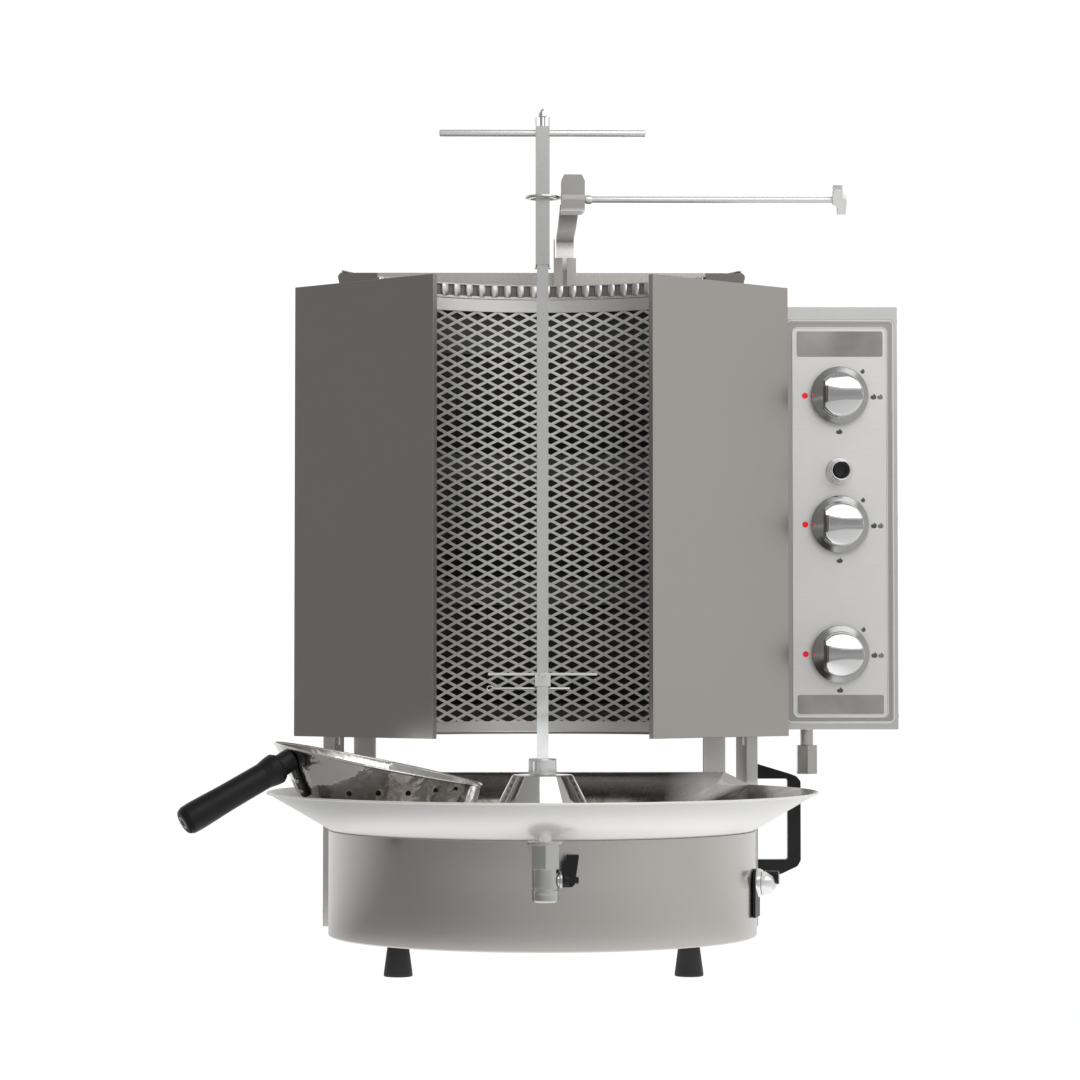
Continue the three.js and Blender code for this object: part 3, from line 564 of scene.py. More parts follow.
cast = metal("cast_metal", (0.16, 0.165, 0.17), 0.55, EVEN, 0.1, 0.0002, 0.15, 350)
black = moulded("black_plastic", (0.013, 0.013, 0.0135), 0.36, 900, 0.00006, 0.3)
rubber = moulded("rubber", (0.018, 0.018, 0.018), 0.62, 500, 0.00012)
# Near-black for the insides of slits, bores, wells and holes: painted shade.
slot_dark = moulded("hole_painted_shade", (0.006, 0.006, 0.006), 0.85, 300, 0.0001)
white = moulded("white_insert", (0.78, 0.78, 0.76), 0.35, 900, 0.00002)
# The red ink glows: painted light that keeps the red marks bright.
red = moulded("red_ink", (0.9, 0.006, 0.03), 0.45, glow=0.35)
ink = moulded("dark_ink", (0.1, 0.1, 0.1), 0.5)
faint_ink = moulded("faint_ink", (0.22, 0.22, 0.22), 0.5)
printed_grey = moulded("printed_grey", (0.36, 0.355, 0.35), 0.5)
label_face = label_finish("label_face", (0.9, 0.89, 0.865))
label_edge = label_finish("label_edge", (0.47, 0.465, 0.45))
tray_inside = tray_inside_finish()
hammered = hammered_finish()
plaque = plaque_finish()
arm_steel = arm_finish()


# ---- CAD nodes that stay ----
CAD_FINISH = (      # finish, bevel in millimetres, nodes
    (plain_steel, 0.3, ["base_deck"]), (drum_finish, 0.5, ["rear_box"]),
    (cast, 1.2, ["gearmotor"]), (cast, 0.6, ["shaft_bearing"]),
    (plain_steel, 0.5, ["drive_shaft"]), (chrome, 0.5, ["spit_rod"]),
    (satin, 0.35, ["spit_sleeve"]), (bright_satin, 0.4, ["meat_support"]),
    (inner_steel, 0.3, ["top_panel", "bottom_panel"]),
    (brushed, 0.4, ["back_panel", "side_wall_left", "side_wall_right"]),
    (plaque, 0, ["burner_1", "burner_2", "burner_3"]),
    (pale_steel, 0.4, ["side_post_left", "side_post_right", "rear_post_left",
                       "rear_post_right"]),
    (arm_steel, 0.6, ["support_arm"]), (box_steel, 0.7, ["control_box"]),
    (brass, 0.5, ["gas_rail"]), (brass, 0.6, ["gas_valve_1", "gas_valve_2", "gas_valve_3"]),
    (door_left_painted_shade, 0.45, ["door_left"]), (door_right_painted_shade, 0.45, ["door_right"]),
    (plain_steel, 0.4, ["hinge_left", "hinge_right"]), (label_edge, 0.25, ["label_plate"]),
)


def dress(name, material, bevel):
    """Gives a CAD node its material and soft edges; its own mesh stays as packed."""
    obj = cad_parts[name]
    mesh = obj.data
    mesh.materials.clear()
    mesh.materials.append(material)
    if "custom_normal" in mesh.attributes:
        mesh.attributes.remove(mesh.attributes["custom_normal"])
    mesh.shade_smooth()
    weld = obj.modifiers.new("weld", "WELD")
    weld.merge_threshold = 2e-6
    if bevel:
        soften(obj, bevel, 2)


for cad_material, cad_bevel, cad_names in CAD_FINISH:
    for cad_name in cad_names:
        dress(cad_name, cad_material, cad_bevel)


# ---- base ----
def drum_path(radius, back, steps=128):
    levels = spaced(0, back, 8)[1:]
    return ([Vector((-radius, y, 0)) for y in reversed(levels)]
            + [polar(radius, pi * (1 + k / steps)) for k in range(steps + 1)]
            + [Vector((radius, y, 0)) for y in levels])


def screw(spot, normal, radius=3.2):
    """Pan head of a screw."""
    head = turned([(0, 0), (radius, 0), (radius, radius * 0.25, 0.4),
                   (radius * 0.6, radius * 0.5, 0.6), (0, radius * 0.5)], 24, 3)
    return moved(head, facing(spot, normal, (0.1, 0, 1)))


def add_drum():
    # x of the section points into the drum, y is the height.
    hem = fillet([(0, DRUM_TOP, 0.4), (0, DRUM_BOTTOM, 1.6), (7, DRUM_BOTTOM, 0.6),
                  (7, DRUM_BOTTOM + SHEET, 0.3), (SHEET, DRUM_BOTTOM + SHEET, 0.6),
                  (SHEET, DRUM_TOP, 0.4)], 4)
    wall = sweep(hem, along(drum_path(DRUM_R, DRUM_BACK - 0.2)))
    floor = prism([p.to_2d() for p in drum_path(DRUM_R - 1.8, DRUM_BACK - 0.4, 64)],
                  SHEET, shift(0, 0, DRUM_BOTTOM + 2))
    screws = [(screw((side * (DRUM_R - 0.1), y, 52), (side, 0, 0), 3.4), 1)
              for side in (-1, 1) for y in (60, 165)]
    piece("drum_shell", [wall, floor, *screws], [drum_finish, plain_steel], "stand",
          ["base_drum"])


def add_feet():
    for name, top in (("foot_front_left", 39.7), ("foot_front_right", 39.7),
                      ("foot_rear_left", 29.7), ("foot_rear_right", 29.7)):
        low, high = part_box(name)
        centre = (low + high) / 2 - SPIT
        body = turned([(0, 0), (15.9, 0, 1.2), (15.9, 3, 0.8), (11.7, top - 5.5, 1),
                       (11.7, top - 4.5, 0.4), (10.4, top - 4, 0.4), (10.4, top - 2),
                       (0, top - 2)], 48, 4)
        washer = turned([(0, top - 2), (11.6, top - 2, 0.4), (11.6, top, 0.4), (0, top)], 48, 3)
        piece(name.replace("foot", "rubber_foot"), [body, (washer, 1)], [rubber, plain_steel],
              "stand", [name], place=shift(centre.x / MM, centre.y / MM, 0))


# ---- drip tray ----
def everything(bm):
    return bm.verts[:] + bm.edges[:] + bm.faces[:]


def ordered(edges):
    """Points of a closed chain of edges, in order."""
    chain = [edges[0].verts[0], edges[0].verts[1]]
    left = set(edges[1:])
    while left:
        nearby = [e for e in chain[-1].link_edges if e in left]
        if not nearby:
            break
        left.discard(nearby[0])
        chain.append(nearby[0].other_vert(chain[-1]))
    return [v.co.copy() for v in chain[:-1]]


def add_tray():
    """Turned pan, cut flat at the back and mitred at its corners, with a rolled rim."""
    up = Vector((0, 0, 1))
    overshoot = 235
    slope = (TRAY_RIM_Z - TRAY_FLOOR) / (TRAY_RIM_R - TRAY_FLOOR_R)
    bm = as_bmesh(lathe([(14.6, TRAY_FLOOR), (TRAY_FLOOR_R, TRAY_FLOOR),
                         (TRAY_FLOOR_R + (overshoot - TRAY_FLOOR) / slope, overshoot)], 256))
    mitre = Vector((0.592, 0.528, -0.609)).normalized()
    flaps = [(Vector((side * mitre.x, *mitre.yz)),
              Vector((side * TRAY_CORNER.x, *TRAY_CORNER.yz))) for side in (1, -1)]
    for normal, point in [(Vector((0, 1, -0.45)).normalized(), TRAY_BACK_CORNER), *flaps]:
        cut = bmesh.ops.bisect_plane(bm, geom=everything(bm), plane_co=point,
                                     plane_no=normal, clear_outer=True)["geom_cut"]
        rim = [e for e in cut if isinstance(e, bmesh.types.BMEdge)]
        ends = [v for v in cut if isinstance(v, bmesh.types.BMVert)
                and v.co.z > overshoot - 0.01]
        if len(ends) == 2:
            rim.append(bm.edges.new(ends))
        bmesh.ops.contextual_create(bm, geom=rim)

    # The rim is level in front, rises past the mitred corners, and is level at the back.
    front, back = TRAY_CORNER.y, TRAY_BACK_CORNER.y
    rise = (TRAY_BACK_Z - TRAY_RIM_Z) / (back - front)
    trims = [(up, TRAY_CORNER, lambda y: y < front),
             (Vector((0, -rise, 1)).normalized(), TRAY_CORNER, lambda y: front <= y < back),
             (up, TRAY_BACK_CORNER, lambda y: y >= back)]
    for y in (front, back):
        bmesh.ops.bisect_plane(bm, geom=everything(bm), plane_co=(0, y, 0), plane_no=(0, 1, 0))
    for normal, point, inside in trims:
        chosen = [f for f in bm.faces if inside(f.calc_center_median().y)]
        geom = {v for f in chosen for v in f.verts} | {e for f in chosen for e in f.edges}
        bmesh.ops.bisect_plane(bm, geom=list(geom | set(chosen)), plane_co=point,
                               plane_no=normal)
        extra = [f for f in bm.faces if inside(f.calc_center_median().y)
                 and (f.calc_center_median() - point).dot(normal) > 1e-4]
        bmesh.ops.delete(bm, geom=extra, context="FACES")
    bmesh.ops.remove_doubles(bm, verts=bm.verts, dist=0.01)
    bmesh.ops.recalc_face_normals(bm, faces=bm.faces)
    for face in bm.faces:
        if any(all(abs((v.co - point).dot(normal)) < 0.05 for v in face.verts)
               for normal, point in flaps):
            face.material_index = 2
    rim = [e for e in bm.edges if e.is_boundary and e.verts[0].co.z > TRAY_RIM_Z - 8]
    rim_path = ordered(rim)
    for v in bm.verts:
        v.co = SPIT + v.co * MM
    mesh = bpy.data.meshes.new("tray_pan")
    bm.to_mesh(mesh)
    bm.free()
    tray = placed("tray_pan", mesh, [tray_outside, tray_inside, tray_outside, tray_flap],
                  "stand", ["drip_tray"], sharp=24)
    folds = soften(tray, 2.2)
    folds.angle_limit = radians(12)
    folds.harden_normals = False
    wall = tray.modifiers.new("sheet", "SOLIDIFY")
    wall.thickness = SHEET * MM
    wall.offset = -1
    wall.use_even_offset = True
    wall.material_offset = 1
    bead = sweep(circle(1.25, 10), along(rim_path, (0.3, 0.2, 1), True), True)
    collar = turned([(14, 150.2), (15.5, 150.2), (15.5, 172, 0.6), (14, 172, 0.6)], 64, 3, True)
    piece("tray_trim", [bead, collar], tray_outside, "stand")


# ---- tap ----
def add_tap():
    """Ball valve in front of the drum; x runs along its spindle, to the lever."""
    place = shift(0, TAP_Y, 0)
    hexagon = fillet([(*polar(16.5, pi / 6 + k * pi / 3).to_2d(), 0.8) for k in range(6)], 3)
    nut = prism(hexagon, 26, shift(0, 0, 128))
    flange = turned([(6, 153.5), (19.5, 153.5, 0.6), (19.5, 157, 0.6), (6, 157)], 64, 4, True)
    outlet = turned([(9.4, 93, 0.6), (13.2, 93, 0.8), (14.25, 95, 0.4), (14.25, 106, 0.3),
                     (13.6, 106.6, 0.2), (13.6, 108, 0.2), (14.25, 108.6, 0.3),
                     (14.25, 129), (9.4, 129)], 64, 3, True)
    neck_line = [(0, 4, 150), (0, 10, 156), (0, 22, 162), (0, 30, 164)]
    neck = sweep(circle(6.5, 32), along(neck_line, (1, 0, 0)))
    # The dark disc inside the outlet is painted shade in its bore.
    plug = lathe([(0, 112), (9.5, 112), (9.5, 114), (0, 114)], 32)

    def spindle_part(x0, x1, radius, chamfer=0.6):
        return bar((x0, 0, TAP_Z), (x1, 0, TAP_Z), radius, chamfer)

    stem = spindle_part(4, 17.6, 7)
    collar = spindle_part(14.6, 17.7, 9.2, 0.8)
    piece("tap_body", [nut, flange, outlet, stem, collar, (plug, 1), (neck, 2)],
          [tap_chrome, slot_dark, tray_outside], "stand", ["drain_valve"], 0.5,
          place=place)
    outline = fillet([(18, 109, 1.5), (28, 109, 3), (31, 112, 4), (35, 140, 2.5),
                      (35, 143, 1), (22, 143, 1.2), (22, 139, 2), (18, 136, 2)], 5)
    lever = prism(outline, 10, facing((0, 5, 0), FRONT))
    hub = spindle_part(18, 25.2, 7.5, 1.2)
    cap = spindle_part(24, 35, 3.6, 0.8)
    piece("tap_handle", [lever, hub, cap], black, "tap_lever",
          ["tap_lever"], 1.4, place=place)


# ---- spit ----
def add_spit():
    cone = turned([(10.6, 216.0), (33, 216.0, 0.4), (66.4, 154.2, 0.3), (68, 154.2, 0.5),
                   (34.6, 216.6, 1.4), (33.2, 217.7, 0.8), (10.6, 217.7, 0.3)], 160, 5, True)
    piece("cone_shell", [cone], mirror, "drive", ["drip_cone"], sharp=50)
    cup = turned([(0, 218), (16, 218, 0.8), (16, 236, 1.9), (9.6, 236, 0.6), (9.6, 223)], 96, 6)
    piece("spit_cup", [cup, lathe([(0, 223), (9.6, 223)], 96)], bright_satin, "drive",
          ["spit_socket"])
    rod = bar((-LIFT_BAR_HALF, 0, LIFT_BAR_Z), (LIFT_BAR_HALF, 0, LIFT_BAR_Z), 4, 1.6, 40)
    piece("lift_rod", [rod], bright_satin, "lifting_bar", ["lifting_bar"])
    pin = bar((-57, 0, PIN_Z), (31, 0, PIN_Z), 1.5, 0.7, 24)
    ring = [polar(3.4, pi * (0.5 + k / 10)) for k in range(21)]
    loop = [Vector((-59.5 + p.x * 1.1, 0, PIN_Z + p.y * 0.85)) for p in ring]
    piece("meat_pin", [pin, sweep(circle(0.75, 10), along(loop, (0, 1, 0)))], bright_satin,
          "support_pin", ["support_pin"])


# ---- burner body ----
def wall_bead(z, size):
    """Rolled edge that runs round the burner wall."""
    path = [on_arc(WALL_R, a, z) for a in spaced(-WALL_SPAN, WALL_SPAN, 120)]
    return sweep(circle(size), along(path))


def window_angles(reach, window, edge_steps, steps):
    """From -reach to reach, with points of their own at the window's two sides."""
    return (spaced(-reach, -window, edge_steps) + spaced(-window, window, steps)[1:]
            + spaced(window, reach, edge_steps)[1:])


def add_burner_wall():
    angles = window_angles(WALL_SPAN, OPENING_SPAN, 4, 120)
    heights = [FRAME_BOTTOM, OPENING_BOTTOM, OPENING_TOP, FRAME_TOP]
    surround = curved_sheet(WALL_R, WALL_R + 2, angles, heights,
                            lambda i, j: j != 1 or i < 4 or i >= len(angles) - 5)
    pitch = VENT_PITCH / WALL_R
    slot_half = VENT_WIDE / 2 / WALL_R
    count = 2 * int(WALL_SPAN / pitch) - 1
    edges = [-WALL_SPAN]
    for i in range(count):
        centre = (i - (count - 1) / 2) * pitch
        edges += [centre - slot_half, centre, centre + slot_half, centre + pitch / 2]
    edges[-1] = WALL_SPAN
    slots = range(8, len(edges) - 9)
    band = curved_sheet(WALL_R, WALL_R + SHEET, edges,
                        [FRAME_TOP - 1, VENT_BOTTOM, VENT_TOP, BAND_TOP],
                        lambda i, j: i in slots and (j != 1 or i % 4 not in (1, 2)))
    piece("burner_surround", [surround, band], frame_steel, "stand",
          ["burner_frame"], 0.35)
    # The dark sheet behind the vent slots is painted shade seen through them.
    backing = curved_sheet(WALL_R + 2.1, WALL_R + 2.9,
                           spaced(-WALL_SPAN + 0.03, WALL_SPAN - 0.03, 80), [788.2, 802.0],
                           lambda i, j: True)
    piece("vent_backing", [backing], vent_shade, "stand")

    section = [Vector((RIB_WIDE / 2 * cos(t), 1.9 * sin(t))) for t in spaced(0, pi, 10)]
    swell = ((788.2, 0.35), (788.8, 0.8), (790, 1), (801.6, 1), (802.9, 0.8), (803.6, 0.35))
    ribs = []
    for i in range(count + 1):
        angle = (i - count / 2) * pitch
        if abs(angle) > radians(57):
            continue
        inward = -on_arc(WALL_R, angle)
        ribs.append(sweep(section, [
            facing(on_arc(WALL_R, angle, z), (0, 0, 1), inward)
            @ Matrix.Diagonal((share, share, 1, 1)) for z, share in swell]))
    piece("vent_ribs", [*ribs, wall_bead(FRAME_TOP - 0.3, 1.1)], frame_steel, "stand")
    piece("surround_hem", [wall_bead(FRAME_BOTTOM + 0.3, 1.0)], frame_steel, "stand")


def add_corner_caps():
    """Plates with a rounded outer corner that close the front corners above the doors."""
    for name, side in (("corner_cap_left", -1), ("corner_cap_right", 1)):
        outline = fillet([(side * 192, 786.6), (side * 236.5, 786.6),
                          (side * 239.5, 800.6, 5), (side * 192, 800.6)], 6)
        piece(name, [prism(outline, 1.5, facing((0, 98.8, 0), FRONT))], cap_painted_shade, "stand",
              bevel=0.5)


def add_heat_box():
    """Dark sheet that closes the gaps round the three burner plaques: painted shade in the gaps.
    """
    angles = window_angles(radians(60), radians(48.6), 6, 60)
    heights = [271, *(z + side for z in VALVE_Z for side in (-61, 61)), 774]
    liner = curved_sheet(WALL_R + 14, WALL_R + 15, angles, heights,
                         lambda i, j: j % 2 == 0 or not 6 <= i < 66)
    piece("heat_box_liner", [liner], liner_painted_shade, "stand")


def add_wire_mesh():
    """Expanded metal: rhombic holes whose strands lean a little, front and back."""
    radius = WALL_R + 2.9
    wide, tall = 13.0, 6.5              # from a hole's middle to the knots round it
    hole = 0.72                         # share of that which is open
    thick, tilt = 0.65, 0.5
    start, rows, columns = 270.2, 78, 21
    index, verts, faces, edge_uses = {}, [], [], {}

    def vertex(key, u, z, out=0.0):
        """Pair of front and back points, made once per key."""
        if key not in index:
            index[key] = len(verts)
            verts.extend(on_arc(radius - out + side, u / radius, z) for side in (-thick, thick))
        return index[key]

    for i in range(-columns, columns + 1):
        for j in range(rows):
            if (i + j) % 2:
                continue
            u, z = i * wide, start + j * tall
            outer = [vertex((i + 1, j), u + wide, z), vertex((i, j + 1), u, z + tall),
                     vertex((i - 1, j), u - wide, z), vertex((i, j - 1), u, z - tall)]
            inner = [vertex((i, j, "e"), u + wide * hole, z),
                     vertex((i, j, "n"), u, z + tall * hole, -tilt),
                     vertex((i, j, "w"), u - wide * hole, z),
                     vertex((i, j, "s"), u, z - tall * hole, tilt)]
            for k in range(4):
                a, b, c, d = outer[k], outer[(k + 1) % 4], inner[(k + 1) % 4], inner[k]
                faces += [(a, b, c, d), (a + 1, d + 1, c + 1, b + 1), (d, c, c + 1, d + 1)]
                edge_uses.setdefault(frozenset((a, b)), []).append((a, b))
    for (a, b), *others in edge_uses.values():
        if not others:
            faces.append((b, a, a + 1, b + 1))
    piece("wire_mesh", [(verts, faces)], mesh_steel, "stand",
          ["burner_mesh"], sharp=20)


# ---- control panel ----
def on_label(outline, low, high):
    """Plate on the label's face, between two heights in front of it."""
    return prism(outline, high - low, facing((0, LABEL_FACE - low, 0), FRONT))


def frame_line(x0, x1, z0, z1, radius, size):
    path = [Vector((p.x, LABEL_FACE - 0.1, p.y))
            for p in rounded_rect(x0, x1, z0, z1, radius, 8)]
    return sweep(circle(size, 10), along(path, (0, 1, 0), True), True)


def flame(x, z, wide, tall):
    """Small flame mark: a round belly drawn up into a bent tip."""
    half = [(0.0, -0.5), (0.28, -0.46), (0.46, -0.26), (0.47, 0.0), (0.36, 0.2), (0.2, 0.34),
            (0.14, 0.5), (0.0, 0.36), (-0.08, 0.12), (-0.2, 0.26), (-0.34, 0.14),
            (-0.46, -0.04), (-0.44, -0.28), (-0.26, -0.46)]
    return on_label([(x + a * wide, z + b * tall) for a, b in half], 0.2, 0.55)


def add_panel():
    inner = on_label(rounded_rect(296.5, 407, 281, 739, 6), -0.3, 0.35)
    lines = [frame_line(288.7, 414.4, 274.4, 747.8, 5, 1.3),
             frame_line(296.3, 407.3, 280.7, 739.4, 6, 0.9)]
    piece("label_panel", [inner, *lines], label_face, "stand", bevel=0.2)
    plates = [on_label(rounded_rect(301.4, 402.6, z0, z1, 2.2), 0.3, 1.25)
              for z0, z1 in ((705.4, 735.1), (284.4, 306.6))]
    piece("label_blanks", plates, printed_grey, "stand", bevel=0.35)
    dots, flames = [], []
    for z in VALVE_Z:
        off = Vector((VALVE_X - 40.2, z))
        dots.append(on_label([off + c for c in circle(3.6, 32)], 0.2, 0.6))
        flames += [flame(VALVE_X + 27.9, z + 29.3, 5.2, 6.2),
                   flame(VALVE_X + 40.6, z - 0.9, 7.6, 7),
                   flame(VALVE_X, z - 42.2, 8, 6.4),
                   (flame(VALVE_X + 48.4, z - 1.1, 7.2, 6.6), 1)]
    piece("label_dots", dots, red, "stand")
    piece("label_flames", flames, [ink, faint_ink], "stand")


def knob_dome():
    """Crown that falls away above and below the grip, rolled over and cut flat at the left."""
    side_r, sides = 26.3, 112
    drops = [(24.2 * k / 14, 0) for k in range(15)]
    drops += [(25.2, 0.5), (25.8, 1.4), (26.2, 2.8), (side_r, 4.6)]

    def crown(p, drop):
        height = 25.8 - (0.25 * p.x * p.x + p.y * p.y) / 110 - 0.2 * abs(p.y)
        return Vector((*p, height - drop))

    rings = [[crown(p, drop) for p in circle(radius, sides)] for radius, drop in drops]
    rings += [[Vector((*p, z)) for p in circle(radius, sides)]
              for radius, z in ((side_r, 8.2), (side_r + 0.9, 7))]
    for ring in rings:
        for v in ring:
            v.x = max(v.x, -20.6 + max(v.z - 8, 0) * 0.15)
    return skin(rings)


def knob_grip():
    """Bar across the crown, wider at its left end; stations run from left to right."""
    stations = ((-20.4, 8.6, 11), (-18.2, 8.9, 24.5), (-17.2, 9.0, 30.2), (-16.4, 8.9, 31),
                (-12, 8.0, 31), (-6, 6.9, 31), (0, 6.1, 30.95), (8, 5.7, 30.9),
                (16, 5.7, 30.7), (22.5, 5.7, 30.2), (24.6, 5.4, 27), (25.6, 5, 17))
    rings = []
    for u, half, top in stations:
        base = min(10.5, top - 1.5)
        waist = base + (top - base) * 0.55
        section = fillet([(-half - 3.4, base), (-half - 1.4, waist), (-half, top, 1.2),
                          (half, top, 1.2), (half + 1.4, waist), (half + 3.4, base)], 5)
        rings.append([Vector((u, *p)) for p in section])
    return skin(rings)


def add_knobs():
    skirt = turned([(4.4, 0.2), (33.2, 0.2, 0.6), (34, 1.4, 0.8), (34, 3.6, 1.6),
                    (19, 11.5)], 128, 8, True)
    mark = moved(lathe([(0, 0), (1.2, 0), (1.0, 0.5), (0, 0.6)], 20), shift(-31.4, 0, 5))
    for i, z in enumerate(VALVE_Z, 1):
        piece(f"gas_knob_{i}", [knob_dome(), (knob_grip(), 2), (skirt, 2), (mark, 1)],
              [chrome, red, knob_skirt], f"knob_{i}", [f"knob_{i}"], sharp=42,
              place=facing((VALVE_X, SKIRT_Y, z), FRONT))
        stem = bar((VALVE_X, SKIRT_Y - 1.5, z), (VALVE_X, SPINDLE_END, z), 4, 0.5)
        piece(f"valve_stem_{i}", [stem], plain_steel, f"spindle_{i}",
              [f"valve_spindle_{i}"])


def add_igniter():
    out = facing((VALVE_X, LABEL_FACE, IGNITER_Z), FRONT)
    bezel = turned([(9.2, -10), (10.2, -10), (10.2, 0.4), (16, 0.4, 0.4), (16, 2.2, 0.9),
                    (15.2, 2.8, 0.4), (14.6, 2.6, 0.3), (13.7, 4.6, 1.2), (12.6, 8, 3),
                    (12.2, 22.6, 1.2), (11, 23.5, 0.8), (9.2, 21.8, 0.8)], 96, 5, True)
    piece("igniter_ring", [bezel], chrome, "stand", ["igniter_bezel"], place=out)
    button = turned([(0, -9), (8.8, -9), (8.8, 22.4, 0.8), (7.4, 23, 0.6), (5.2, 21.4, 1.5),
                     (0, 20.8)], 64, 6)
    piece("igniter_cap", [button], black, "igniter_button",
          ["igniter_button"], place=out)


# ---- right side ----
def add_arm_parts():
    """Ring, slot and T-ended screw of the arm, at the height of its head."""
    place = shift(0, 0, ARM_Z)
    ring = turned([(13, 0.5, 0.9), (20, 0.5, 1.2), (20, 3.5, 1.2), (13, 3.5, 0.9)], 96, 5, True)
    tab = block(17, 20.7, -5, 5, 0.6, 3.4)
    piece("guide_ring", [ring, tab], chrome, "arm", ["spit_ring"], place=place)
    shaft = bar((31, 0, 0), (333, 0, 0), 3.75, 0.8)
    collar = bar((49, 0, 0), (56, 0, 0), 5.2, 0.8)
    slot = block(21.8, 47.2, -12.35, -10.4, -1.9, 3.9)
    # The thin chrome strip across the slot is a painted highlight.
    line = block(21.8, 47.2, -12.8, -12.0, 0.5, 1.5)
    piece("arm_slot", [slot, (line, 1)], [plain_steel, bar_chrome], "arm",
          place=place)
    stepped = fillet([(-8.5, 17.5, 1.2), (-8.5, -3, 1.5), (-2, -7, 1.5), (-2, -17.5, 1.2),
                      (8.5, -17.5, 1.2), (8.5, 3, 1.5), (3, 7, 1.5), (3, 17.5, 1.2)], 4)
    grip = prism(stepped, 10, shift(339, 0, 0) @ turn("X", 45) @ facing((0, 5, 0), FRONT))
    piece("clamp_bar", [shaft, collar, grip], bright_satin, "clamp_screw",
          ["clamp_screw"], 0.6, place=place)


def add_bow_handle():
    outline = fillet([(260.3, 223, 1), (300, 211, 6), (308, 208, 5), (313, 202, 5),
                      (313, 107, 5), (309, 100, 4), (291, 91.5, 6), (260.3, 82, 1),
                      (260.3, 108, 1), (297.5, 108, 3), (297.5, 205, 3), (260.3, 205, 1)], 6)
    grip = prism(outline, 15, facing((0, 233, 0), FRONT))
    piece("bow_grip", [grip], black, "stand", ["bow_handle"], 2.6)
    heads = [bar((259.6, 225.5, z), (262.6, 225.5, z), 4) for z in (89, 215)]
    piece("bow_grip_feet", heads, plain_steel, "stand")


def add_switch():
    """Rotary switch on the drum's side: z points out of its plate."""
    out = turn("Z", SWITCH_DEGREES) @ facing((DRUM_R, 0, SWITCH_Z), (1, 0, 0))
    outline = [polar(17, a).to_2d() - Vector((0, 1)) for a in spaced(0, pi, 24)]
    plate = prism([*outline, (-17, -38), (17, -38)], 3.4, shift(0, 0, 0.4))
    ring = turned([(5, 3), (16, 3, 0.3), (16, 5.4, 0.6), (14.8, 9, 0.9), (5, 9)], 64, 4, True)
    piece("switch_base", [plate, (ring, 1)], [black, chrome], "stand",
          ["switch_plate"], 0.8, place=out)
    dome = turned([(0, 9.4), (13.8, 9.4, 0.5), (13.2, 14, 3), (9.6, 21.5, 6), (3, 25, 3),
                   (0, 25.2)], 64, 6)
    grip = prism(rounded_rect(-5, 5, -1, 13.6, 3.5), 17, shift(0, 0, 10.5))
    line = prism(rounded_rect(-0.9, 0.9, 3, 12, 0.8), 0.5, shift(0, 0, 27.3))
    piece("switch_grip", [grip, (dome, 2), (line, 1)], [black, white, bright_satin],
          "switch_knob", ["switch_knob"], 0.8, place=out)
    mark = prism([(-4.5, 4), (4.5, 4), (0, -4.5)], 0.4)
    piece("switch_mark", [mark], ink, "stand",
          place=turn("Z", -20) @ facing((DRUM_R, 0, SWITCH_Z + 5), (1, 0, 0)))


# ---- back and sides ----
ACROSS = Matrix(((0, 0, 1, 0), (1, 0, 0, 0), (0, 1, 0, 0), (0, 0, 0, 1)))


def louvre(x, y, z, wide):
    """Pressed hood on a back face, open below, with a dark plate under it as painted shade in the
    slit.
    """
    place = facing((x, y, z), BACK) @ ACROSS
    hood = [(-3.5, -0.3), (-3.5, 4), (-1.8, 4.2), (5, 0.6), (5, -0.3)]
    slit = [(-5, 0.05), (-5, 0.4), (-3.4, 0.4), (-3.4, 0.05)]
    return [prism(hood, wide, place @ shift(0, 0, -wide / 2)),
            (prism(slit, wide - 3, place @ shift(0, 0, 1.5 - wide / 2)), 1)]


def rivet_at(x, y, base, radius, rise):
    """Flat rivet head with a sloping edge, on a face that looks along z."""
    profile = [(0, base), (radius, base), (radius - 0.4, base + rise - 0.2), (0, base + rise)]
    return moved(lathe(profile, 20), shift(x, y, 0))


